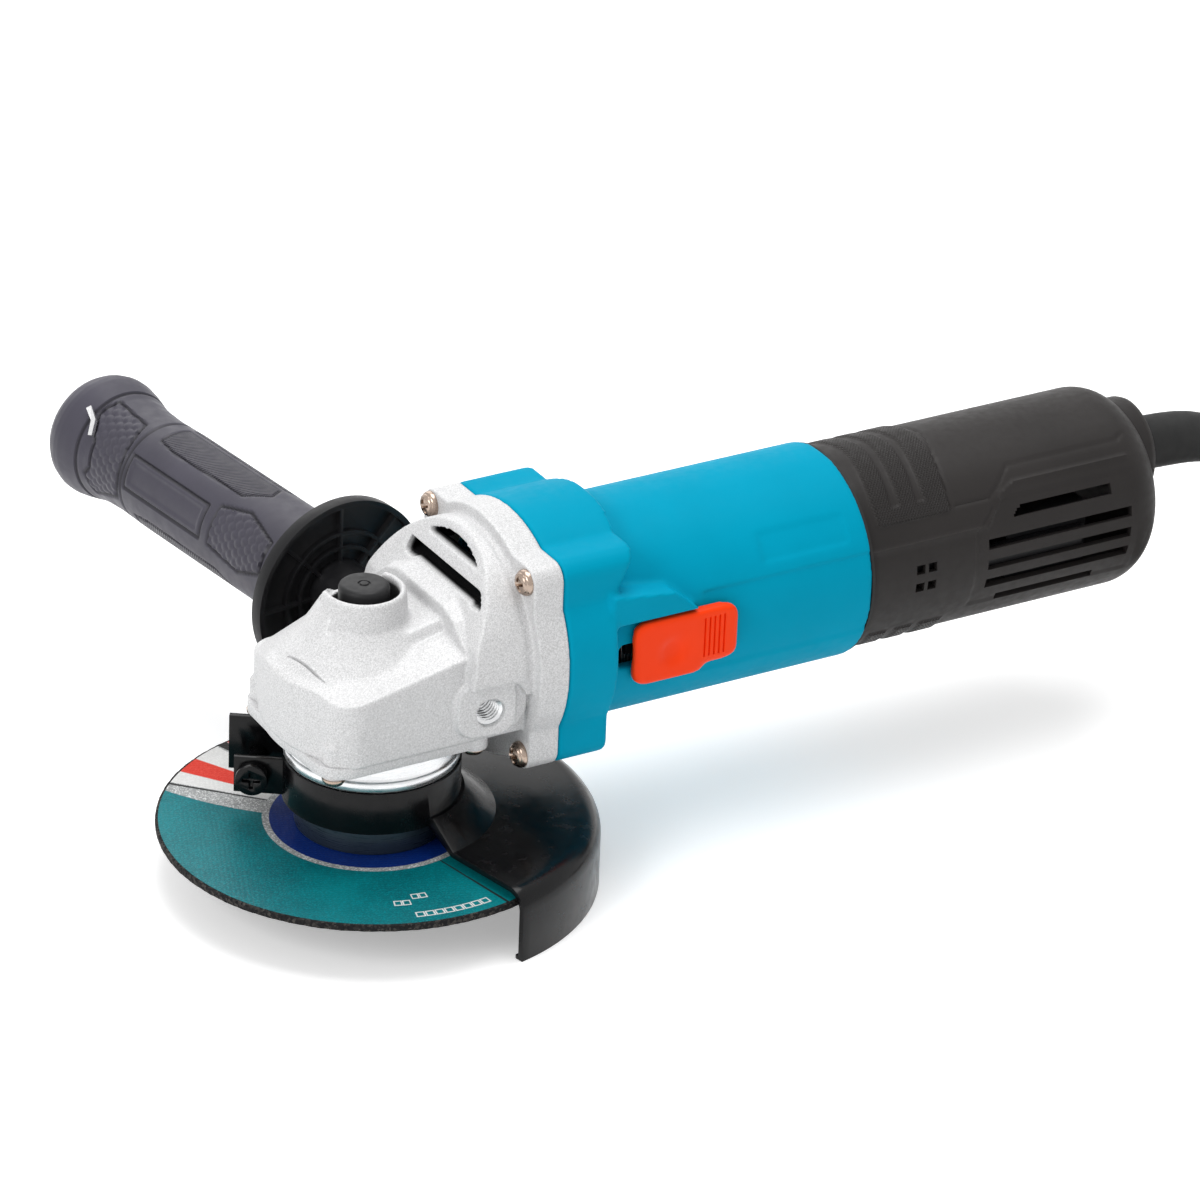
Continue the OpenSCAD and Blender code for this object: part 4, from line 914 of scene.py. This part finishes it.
def make_socket_thread():
    """The visible turns of thread in the open side socket."""
    stations = [(1.6, 4.3), (1.6, 3.9)]
    for i in range(9):
        stations += [(start - 1.25 * i, r)
                     for start, r in ((1.25, 3.9), (0.75, 3.05), (0.6, 3.05), (0.1, 3.9))]
    stations += [(-10.3, 3.7), (-10.3, 0)]
    thread = turned("socket_thread", stations, lambda s, r, a: on_handle(s, r, a, -1), columns=48)
    dress(thread, "machined", "machined_alloy")


make_head()
make_socket_thread()


# ---- motor housing
def make_casing():
    """Motor housing: front block, barrel with stepped side panels, hood and switch pocket."""
    casing = merged_copy("motor_housing", "motor_casing")
    radius = BARREL_R - 0.45
    for u0, u1, low, high, hand in ((84, 140, 37.4, 61.6, -1), (104, 131.5, 64.5, 71.5, -1),
                                    (60, 140, 37.4, 61.6, 1), (104, 131.5, 64.5, 71.5, 1)):
        box = [(u0, hand * 10), (u1, hand * 10), (u1, hand * 36), (u0, hand * 36)]
        ends = [(u0 - 9, 0), (u0 - 9, radius), (u1 + 9, radius), (u1 + 9, 0)]
        panel = carve(prism("panel", box, low, high), turned("core", ends, on_motor, columns=128))
        carve(casing, panel)
    soften(casing, voxel=0.7, rounds=5, keep=0.7)
    dress(casing, "teal", "teal_plastic", "motor_housing")


make_casing()


# ---- rear cover: (x, angle) outlines
HATCH_BANDS = ((142.6, 147.0), (151.0, 155.0), (158.9, 164.6))
HATCH_LOW, HATCH_STRIP = 33.5, 42.0
TOP_PANEL = [(167.0, 35.9), (178, 35.9), (182.6, 43.2), (186.5, 51.8), (223.0, 51.8), (225.4, 56)]
TOP_LINE = [(165.6, 35.9), (166.6, 62), (169.8, 90)]
SIDE_PANEL = [(138.5, 20.6), (176, 20.6), (182, 36.5), (187, 41.6), (224, 41.6)]
VENT_PANEL = [(172, -31), (172, 18), (180, 33.5), (224, 33.5), (224, -31)]
VENT_ROWS = ((-7.6, 176, 223, 1.5), (-1.5, 176, 223, 1.5), (4.7, 176, 223, 1.5),
             (-13.6, 181, 213, 1.0), (12.0, 184, 217, 1.4))      # height, from, to, half width
WINDOW, WINDOW_XS, WINDOW_ZS = 2.7, (152.4, 156.2), (-4.4, 1.0)  # four small square openings


def near_angle(angle):
    """The cover is the same on both sides: 90 is up, -90 down."""
    angle = (angle + 180) % 360 - 180
    return angle if abs(angle) <= 90 else math.copysign(180, angle) - angle


def hatch_amount(along, angle):
    low = near_angle(angle)
    upper = low if low > 0 else (-low + 8 if low < -38 else 0)
    if upper < HATCH_LOW:
        return 0.0
    x = along - 0.062 * max(0.0, upper - 47)     # the bands lean back as they climb
    strip = (bump_between(along, 142.6, 164.6, 1.1)
             * bump_between(upper, HATCH_LOW + 1, HATCH_STRIP, 1.2))
    bands = [bump_between(x, a, b, 1.1) for a, b in HATCH_BANDS if upper > HATCH_STRIP - 2]
    return max([strip] + bands)


def cover_relief(along, radius, angle):
    if radius < COVER_R - 6:
        return 0.0
    low = near_angle(angle)

    def gap(points):
        flat = [(x, a * DEG * COVER_R) for x, a in points]
        return polyline_distance(along, low * DEG * COVER_R, flat)

    lift = 0.55 * hatch_amount(along, angle)
    lift += groove(gap(TOP_PANEL), 0.45, 0.45) + groove(gap(TOP_LINE), 0.5, 0.4)
    lift += 0.45 * bump_between(gap(SIDE_PANEL), -0.2, 0.2, 0.7)
    if inside(along, low, VENT_PANEL):
        lift -= 0.35
    return lift + groove(along - COVER_X - 1.4, 0.5, 0.3)


def cover_angles():
    """Even steps, with every opening's edges among them."""
    heights = [z + h for z, _, _, half in VENT_ROWS for h in (-half, half)]
    heights += [z + h for z in WINDOW_ZS for h in (0, WINDOW)]
    turns = [math.degrees(math.asin(h / COVER_R)) for h in heights]
    edges = {e % 360 for a in turns for e in (round(a, 3), round(180 - a, 3))}
    plain = {a * 1.5 for a in range(240)
             if all(abs((a * 1.5 - e + 180) % 360 - 180) > 0.45 for e in edges)}
    return sorted(edges | plain)


def cover_hole(along, angle):
    h = COVER_R * math.sin(math.radians(near_angle(angle)))
    for z, start, end, half in VENT_ROWS:
        nose = (h - z + half) * 1.2 if z > 10 else 0
        if start + nose < along < end and abs(h - z) < half:
            return True
    return any(x < along < x + WINDOW and z < h < z + WINDOW for x in WINDOW_XS for z in WINDOW_ZS)


def make_cover():
    """Rear cover: a thin shell with air slots, raised hatched bands and engraved outlines."""
    round_r = 12.0
    edges = {x for _, start, end, _ in VENT_ROWS for x in (start, end)}
    edges |= {x + w for x in WINDOW_XS for w in (0, WINDOW)}
    straight = {x for x in (COVER_X + 0.6 * i for i in range(145))
                if x < TAIL_X - round_r - 0.3 and all(abs(x - e) > 0.2 for e in edges)}
    stations = [(x, COVER_R) for x in sorted(straight | edges | {TAIL_X - round_r})]
    for i in range(1, 19):
        up, out = polar(round_r, 5 * i)
        stations.append((TAIL_X - round_r + out, COVER_R - round_r + up))
    stations += [(TAIL_X, r) for r in (12.0, 8.0, 4.0, 0.0)]
    cover = turned("rear_shell", stations, on_motor, relief=cover_relief, holes=cover_hole,
                   angles=cover_angles(), masks={"hatch": lambda x, r, a: hatch_amount(x, a)},
                   uv=lambda s, a: (s, a * DEG * COVER_R))
    wall = cover.modifiers.new("wall", "SOLIDIFY")
    wall.thickness = 1.7 * MM
    wall.offset = -1
    dress(shade(settle(cover), 38), "cover", "charcoal_plastic", "rear_cover")


def make_cover_collar():
    """The raised collar round the cord's boot, and the dark joint ring at the cover's front."""
    def on_boot(along, radius, angle):
        return on_motor(along, radius, angle) + Vector((0, 0, 9 * MM))

    stations = [(TAIL_X + x, r) for x, r in (
        (-12, 7.7), (-12, 14.6), (1.6, 14.6), (3.0, 14.1), (3.9, 12.9), (4.2, 11.2), (4.0, 9.0),
        (3.2, 7.7), (-12, 7.7))]
    collar = turned("cover_collar", stations, on_boot, columns=72)
    dress(collar, "cover", "charcoal_plastic")
    stations = [(COVER_X + x, r) for x, r in (
        (-0.1, 27.0), (-0.1, 29.4), (0.7, 29.4), (0.9, 28.6), (0.9, 27.0), (-0.1, 27.0))]
    seam = turned("joint_seal", stations, on_motor, columns=160)
    dress(seam, "seal_rubber", "black_rubber")


make_cover()
make_cover_collar()


# ---- side handle: (along, angle)
BLANK_PANEL = [(70, -177), (70, -139), (107.5, -139), (107.5, -177)]
LOW_SCALES = [(65.6, -133), (65.6, -177), (51, -186), (41, -173), (40.5, -136), (54.5, -121.5)]
TOP_SCALES = [(127.6, -99), (113.4, -103), (111.6, -126), (110.6, -160), (111.2, -196),
              (124.5, -214), (126.6, -190), (124.4, -181), (124.4, -152), (128.6, -124)]
HERRINGBONE = [(103.4, -110), (103.2, -72), (59, -72), (56, -90), (62.6, -111), (95.5, -114)]
GRIP_FOOT, GRIP_END, GRIP_R = 26.5, 145.8, 15.2
SCALE_PITCH = 3.0
GRIP_LINE_SHADE = {}                      # how deep each point lies in an engraved line, 0 to 1; it paints shade there


def grip_zone(along, angle, outline, centre):
    """How far inside an outline, repeated on the other side, a point is; negative outside."""
    best = -9.0
    flat = [(x, b * (DEG * GRIP_R)) for x, b in outline]
    for turn in (0, 180):
        arc = ((angle + turn - centre + 180) % 360 - 180 + centre) * (DEG * GRIP_R)
        far = polyline_distance(along, arc, flat, True)
        best = max(best, far if inside(along, arc, flat) else -far)
    return best


def scale_cells(along, arc):
    """Rounded hexagonal scales."""
    step = SCALE_PITCH * 0.8
    row = round(along / step)
    best = 9.0
    for r in (row - 1, row, row + 1):
        across = arc - (SCALE_PITCH / 2 if r % 2 else 0)
        column = round(across / SCALE_PITCH)
        for c in (column - 1, column, column + 1):
            best = min(best, math.hypot(along - r * step, across - c * SCALE_PITCH))
    return max(0.0, 1 - (best / 1.9) ** 2)


def hatch_zone(along, angle):
    return max(grip_zone(along, a, HERRINGBONE, -91) for a in (angle, -angle + 44))


def grip_hatch(along, radius, angle):
    if radius <= 12 or not 50 < along < 110:
        return 0.0
    return min(1.0, max(0.0, hatch_zone(along, angle) / 0.5))


def grip_relief(along, radius, angle):
    if radius < 12 or along < GRIP_FOOT + 3 or along > GRIP_END - 6:
        return 0.0
    lift = 0.0
    blank = grip_zone(along, angle, BLANK_PANEL, -158)
    cut = groove(blank, 0.6, 0.6)
    if blank > 1.6:
        lift -= 0.45 * min(1.0, (blank - 1.6) / 0.6)
    for outline in (LOW_SCALES, TOP_SCALES):
        zone = grip_zone(along, angle, outline, -155)
        cut += groove(zone, 0.6, 0.6)
        if zone > 0.5:
            lift += 0.75 * scale_cells(along, angle * DEG * GRIP_R) - 0.35
    cut += groove(hatch_zone(along, angle), 0.5, 0.45)
    cut += groove(along - 109.2, 0.6, 0.5) + groove(along - 129.8, 0.55, 0.5)
    GRIP_LINE_SHADE[along, angle] = min(1.0, -cut / 0.45)
    return lift + cut


def make_grip():
    outer = [(GRIP_FOOT, 13.4), (27.4, 14.1), (29, 14.6), (31, 14.9), (35.5, 15.2), (103, 15.2),
             (115, 14.9), (122.5, 15.2), (127, 15.7), (130.5, 16.6), (134, 17.4), (137, 17.9),
             (139, 17.9), (141.4, 17.3), (143.4, 16.2), (144.8, 14.6), (145.4, 13.2), (145.5, 12.2),
             (145.0, 11.7), (145.5, 11.2), (145.8, 10.0), (145.8, 5.0), (145.8, 0)]
    stations = [(130.5, 0), (130.5, 8.65), (GRIP_FOOT, 8.65), (GRIP_FOOT, 11)]
    for (a0, r0), (a1, r1) in zip(outer, outer[1:]):
        steps = max(1, round(math.hypot(a1 - a0, r1 - r0) / 0.5)) if r1 > 10 else 1
        stations += [(a0 + (a1 - a0) * k / steps, r0 + (r1 - r0) * k / steps) for k in range(steps)]
    # the line mask carries painted shade along the engraved lines, and the hatch mask painted shade
    # in the hatching's grooves
    grip = turned("handle_sleeve", stations + outer[-1:], on_handle, columns=200,
                  relief=grip_relief,
                  masks={"hatch": grip_hatch,
                         "line": lambda x, r, a: GRIP_LINE_SHADE.get((x, a), 0.0) if r > 12 else 0.0},
                  uv=lambda s, a: (s, a * DEG * GRIP_R))
    dress(grip, "grip", "slate_rubber", "handle_grip")


def make_grip_mark():
    """Small bright metal chevron at the grip's end ring, sunk partly into its surface."""
    centre = [(131.2, -126.5), (127.6, -133.5), (126.0, -147.5)]
    width, per_degree = 0.8, 0.31
    mesh = bmesh.new()
    rings = []
    for i, (along, angle) in enumerate(centre):
        before, after = centre[max(i - 1, 0)], centre[min(i + 1, 2)]
        dx, dy = after[0] - before[0], (after[1] - before[1]) * per_degree
        size = math.hypot(dx, dy) / width
        radius = GRIP_R + max(0.0, along - 123) * 0.36
        rings.append([mesh.verts.new(on_handle(along - k * dy / size, radius + lift,
                                               angle + k * dx / size / per_degree))
                      for k, lift in ((-1, -0.6), (-1, 0.42), (1, 0.42), (1, -0.6))])
    join_rings(mesh, rings)
    dress(to_object(mesh, "grip_chevron"), "silver_mark", "machined_alloy")


make_grip()
make_grip_mark()


def bevelled(node, name, width, body, finish, slot):
    """A frame node whose sharp edges are rounded, standing in for the node."""
    dress(round_edges(merged_copy(node, name), width), finish, slot, node, body=body)


bevelled("handle_flange", "hand_guard", 0.4, "housing", "black", "black_plastic")


# ---- disc
def make_disc():
    """Cutting disc with a ragged rim, and its printed label as a thin raised layer."""
    def rough(along, radius, angle):
        if radius < DISC_R - 0.6:
            return 0.0
        a = math.radians(angle)
        waves = 0.07 * math.sin(37 * a + 1.3) * math.sin(91 * a + along * 3)
        return waves - 0.06 * abs(math.sin(173 * a))

    edge = DISC_R
    stations = [(-2.0, 12.6), (-2.0, 30), (-2.0, edge - 1), (-1.9, edge - 0.1), (-1.4, edge),
                (-0.7, edge), (-0.12, edge - 0.1), (0, edge - 0.8), (0, 40), (0, 25), (0, 12.6),
                (-2.0, 12.6)]
    disc = turned("abrasive_disc", stations, on_upright(0), columns=360, relief=rough)
    dress(disc, "grit", "bonded_abrasive", "cutting_disc", body="spindle")
    radii = [15, 27, 29, 40, 50, edge - 0.85]
    thick = 0.05
    sheet = [(0.0, radii[0])] + [(thick, r) for r in radii] + [(0.0, radii[-1] + thick)]
    label = turned("disc_label", sheet, on_upright(0), columns=240,
                   uv=lambda travel, angle: (angle / 360, (radii[0] - thick + travel) / 100))
    dress(label, "print", "bonded_abrasive", body="spindle")


make_disc()


# ---- screws, by geometry nodes
def screw_template(name, head_r, head_h, shank_r, shank_len):
    """A pan-head screw with a cross recess, its shank along local Z."""
    def on_screw(along, radius, angle):
        return Vector((*polar(radius, angle), along)) * MM

    def recess(along, radius, angle):
        if along > -head_h * 0.25 or radius > head_r * 0.62:
            return 0.0
        x, y = (abs(part) for part in polar(radius, angle))
        depth = head_h * 0.62 * max(0.0, 1 - (max(x, y) / (head_r * 0.60)) ** 3)
        return -depth if min(x, y) < head_r * 0.13 else 0.0

    stations = [(-head_h, 0.0)]
    for i in range(1, 15):
        stations.append((head_h * (0.45 * (i / 18) ** 2.4 - 1), head_r * i / 18))
    for i in range(1, 8):
        down, out = polar(1, 90 * i / 7)
        stations.append((-head_h * (0.18 + 0.42 * down), head_r * (14 / 18 + 4 / 18 * out)))
    stations += [(-0.05, head_r), (0, head_r - 0.1), (0, shank_r), (shank_len - 0.5, shank_r),
                 (shank_len, shank_r - 0.4), (shank_len, 0)]
    screw = turned(name, stations, on_screw, columns=64, relief=recess)
    screw.data.materials.append(FINISH["plated_screw"])
    return screw


def screw_tree():
    """Places one screw on every point, turned by the given direction and a random spin."""
    tree = bpy.data.node_groups.new("screws on points", "GeometryNodeTree")
    for name, kind in (("Points", "Geometry"), ("Screw", "Object"), ("Direction", "Rotation"),
                       ("Size", "Float"), ("Finish", "Material")):
        socket = tree.interface.new_socket(name, in_out="INPUT", socket_type="NodeSocket" + kind)
        if name == "Size":
            socket.default_value = 1.0
    tree.interface.new_socket("Geometry", in_out="OUTPUT", socket_type="NodeSocketGeometry")
    start, end, fetch, scatter, spin, turn, rotate, make, coat = (tree.nodes.new(kind) for kind in (
        "NodeGroupInput", "NodeGroupOutput", "GeometryNodeObjectInfo",
        "GeometryNodeInstanceOnPoints", "FunctionNodeRandomValue", "FunctionNodeEulerToRotation",
        "FunctionNodeRotateRotation", "GeometryNodeRealizeInstances", "GeometryNodeSetMaterial"))
    spin.data_type = "FLOAT_VECTOR"
    spin.inputs["Seed"].default_value = 7
    spin.inputs[0].default_value = (0, 0, 0)
    spin.inputs[1].default_value = (0, 0, math.tau)
    rotate.rotation_space = "LOCAL"
    for giver, output, taker, entry in (
            (start, "Points", scatter, "Points"), (start, "Screw", fetch, "Object"),
            (fetch, "Geometry", scatter, "Instance"), (spin, 0, turn, 0),
            (start, "Direction", rotate, 0), (turn, 0, rotate, 1),
            (rotate, 0, scatter, "Rotation"), (start, "Size", scatter, "Scale"),
            (scatter, "Instances", make, "Geometry"), (make, "Geometry", coat, "Geometry"),
            (start, "Finish", coat, "Material"), (coat, "Geometry", end, "Geometry")):
        tree.links.new(giver.outputs[output], taker.inputs[entry])
    return tree


SCREW_TREE = screw_tree()


def place_screws(name, template, points, direction, node):
    mesh = bpy.data.meshes.new(name)
    mesh.from_pydata([tuple(p) for p in points], [], [])
    holder = link(mesh, name)
    modifier = holder.modifiers.new("screws", "NODES")
    modifier.node_group = SCREW_TREE
    values = {"Screw": template, "Direction": direction, "Size": 1.0,
              "Finish": FINISH["plated_screw"]}
    for item in SCREW_TREE.interface.items_tree:
        if item.in_out == "INPUT" and item.name in values:
            modifier[item.identifier] = values[item.name]
    shade(settle(holder))
    bpy.data.objects.remove(template)
    dress(holder, "plated_screw", "bronze_screw", node)


FLANGE_X = 31
SCREW_OFF = 25.6
FLANGE_SCREW = screw_template("flange_screw", head_r=3.6, head_h=2.8, shank_r=1.9, shank_len=20)
place_screws("flange_screw_set", FLANGE_SCREW,
             [spot(FLANGE_X, y, MOTOR_D + z)
              for y in (-SCREW_OFF, SCREW_OFF) for z in (-SCREW_OFF, SCREW_OFF)],
             (0, math.pi / 2, 0), "flange_screws")
BOX_SCREW = screw_template("box_screw", head_r=3.2, head_h=2.4, shank_r=1.8, shank_len=3)
place_screws("box_screw_set", BOX_SCREW,
             [spot(x, y, 28.8) for x, y in BOX_SCREWS], (0, 0, 0), "bearing_box_screws")


# ---- smaller pieces
for row in (("wheel_guard", "guard_shell", 0.3, "guard", "paint", "black_steel"),
            ("inner_flange", "disc_flange", 0.4, "spindle", "blued", "blued_steel"),
            ("outer_nut", "clamp_nut", 0.35, "spindle", "blued", "blued_steel"),
            ("cord_tie", "tie_strap", 0.4, "housing", "black", "black_rubber"),
            ("guard_screw", "clamp_screw", 0.25, "guard", "paint", "black_steel")):
    bevelled(*row)


def make_bearing_box():
    """A cast plate with lugs round its screws, and a turned nose for the guard's collar."""
    plate = link(bpy.data.meshes.new("bearing_plate"), "bearing_plate")
    centres = ((15.5, 17.3), (-18.9, 17.3), (-18.9, -17.3), (15.5, -17.3))
    outline = rounded_outline(centres, 8.4, 9)
    bow = [16.0 * k / 6 - 8 for k in range(7)]
    outline[22:22] = [(-28.3 + 0.01 * y ** 2, -y) for y in bow]
    merge(plate, prism("base", outline, 29.3, 32.4))
    for (x, y), (dx, dy, radius) in zip(BOX_SCREWS, LUGS):
        lug = prism("lug", circle_points(x + dx / 2, y + dy / 2, radius), 28.8, 32.3)
        carve(plate, lug, "UNION")
    dress(round_edges(plate, 0.35), "cast", "machined_alloy")
    stations = [(29.6, 14), (29.6, 22.4), (24.2, 22.6), (23.4, 22.9), (23.2, 23.4), (22.9, 23.6),
                (20.8, 23.6), (20.4, 23.3), (20.4, 21.42), (9.0, 21.42), (8.65, 21.1), (8.6, 9.5),
                (29.6, 9.5), (29.6, 14)]
    nose = turned("bearing_cover", stations, on_upright(0), columns=144)
    dress(nose, "machined", "machined_alloy", "bearing_box")


def make_button():
    """Round spindle-lock button with a shallow dished top, a small pip and its pin."""
    stations = [(69.5, 0), (69.5, 5.4), (62.05, 5.45), (62.05, 6.4), (62.5, 6.85), (70.2, 6.85),
                (70.9, 6.6), (71.35, 6.1), (71.5, 5.5), (71.4, 3.0), (71.4, 1.75), (71.1, 1.6),
                (71.1, 1.25), (71.5, 1.05), (71.55, 0)]
    cap = turned("lock_cap", stations, on_upright(BUTTON_X))
    stations = [(46.0, 0), (46.0, 1.5), (46.3, 1.8), (70.3, 1.8), (70.3, 0)]
    merge(cap, turned("lock_pin", stations, on_upright(-8.2), columns=32))
    dress(shade(cap), "button", "black_plastic", "lock_button", body="lock_button")


def make_slider():
    """Slide switch: moulded block with a finger hollow, grip ribs and a narrower rear part."""
    body = merged_copy("switch_slider", "slide_switch")
    face, ball_r, depth = -32.4, 9.0, 1.3

    def on_ball(along, radius, angle):
        u, v = polar(radius, angle)
        return spot(73.0 + u, face - ball_r + depth + along, 48.5 + v)

    ball = [(along, max(r, 0.0)) for along, r in (polar(ball_r, a) for a in range(0, 181, 15))]
    carve(body, turned("ball", ball, on_ball, columns=32))
    step = [(80.5, face - 1), (95, face - 1), (95, face + 0.8), (82.5, face + 0.8)]
    carve(body, prism("step", step, 30, 43.2))
    soften(body, voxel=0.5, rounds=32)
    for k in range(5):
        x = 82.6 + 1.5 * k
        cut = [(x - 0.4, face - 1), (x + 0.4, face - 1), (x + 0.25, face + 0.6),
               (x - 0.25, face + 0.6)]
        carve(body, prism("groove", cut, 44.6, 56.2))
    dress(shade(body), "orange", "orange_plastic", "switch_slider", body="switch")


make_bearing_box()
make_button()
make_slider()


# ---- the CAD pieces' own finishes
PLAIN = {
    "steel": "rear_cover_screw stator_screws brush_springs clamp_screws handle_stud spindle_shaft"
             " disc_ring motor_shaft lock_spring",
    "race": "spindle_bearing_race spindle_bearing_balls motor_bearing_races motor_bearing_balls"
            " spindle_bearing_inner motor_bearing_inners",
    "white": "fan_baffle cooling_fan",
    "laminate": "stator_core armature_core",
    "copper": "stator_coils armature_windings",
    "brass": "brush_holders plug_pins",
    "carbon": "carbon_brushes",
    "black": "switch_body cord_clamp switch_rod",
    "capacitor": "capacitor",
    "sheath": "internal_leads",
    "bronze": "spindle_bush",
    "seal_rubber": "dust_seal rear_bearing_seat",
    "gear": "bevel_gear pinion",
    "blued": "spindle_circlip pinion_nut guard_nut",
    "bars": "commutator",
}
for finish, names in PLAIN.items():
    for node in names.split():
        paint(NODES[node].data, finish)


# ---- floor, light and view, in metres
def direct(tree):
    """1 for rays from the view, mirrored or seen through something."""
    paths = tree.nodes.new("ShaderNodeLightPath")
    total = paths.outputs["Is Camera Ray"]
    for kind in ("Is Glossy Ray", "Is Transmission Ray"):
        more = tree.nodes.new("ShaderNodeMath")
        more.operation = "MAXIMUM"
        tree.links.new(total, more.inputs[0])
        tree.links.new(paths.outputs[kind], more.inputs[1])
        total = more.outputs[0]
    return total


def make_studio():
    reach = 6.0
    mesh = bpy.data.meshes.new("floor")
    mesh.from_pydata([(-reach, -reach, FLOOR_Z), (reach, -reach, FLOOR_Z), (reach, reach, FLOOR_Z),
                      (-reach, reach, FLOOR_Z)], [], [(0, 1, 2, 3)])
    pale = Graph("floor_white", (0.95, 0.95, 0.95), 0.85, Specular_IOR_Level=0.1,
                 Emission_Color=(1, 1, 1))
    pale.put(pale.shader.inputs["Emission Strength"], pale.times(direct(pale.tree), 0.35))
    mesh.materials.append(pale.material)
    link(mesh, "floor")

    world = bpy.context.scene.world or bpy.data.worlds.new("studio")
    bpy.context.scene.world = world
    world.use_nodes = True
    tree = world.node_tree
    tree.nodes.clear()
    mix = tree.nodes.new("ShaderNodeMixShader")
    out = tree.nodes.new("ShaderNodeOutputWorld")
    tree.links.new(direct(tree), mix.inputs[0])
    for entry, strength in ((1, 0.5), (2, 1)):
        sky = tree.nodes.new("ShaderNodeBackground")
        sky.inputs["Color"].default_value = (1, 1, 1, 1)
        sky.inputs["Strength"].default_value = strength
        tree.links.new(sky.outputs[0], mix.inputs[entry])
    tree.links.new(mix.outputs[0], out.inputs["Surface"])

    middle = Vector((0.08, 0, 0.05))
    for name, place, size, power in (("key", (-1.25, -0.35, 0.95), 0.7, 9),
                                     ("top", (0.25, 0.15, 1.5), 1.0, 14),
                                     ("back", (0.3, 1.3, 0.8), 1.0, 4)):
        data = bpy.data.lights.new(name, "AREA")
        data.shape = "RECTANGLE"
        data.size = data.size_y = size
        data.energy = power
        lamp = link(data, name)
        lamp.location = place
        lamp.rotation_euler = (middle - Vector(place)).to_track_quat("-Z", "Y").to_euler()


make_studio()
bpy.context.scene.view_settings.view_transform = "Standard"
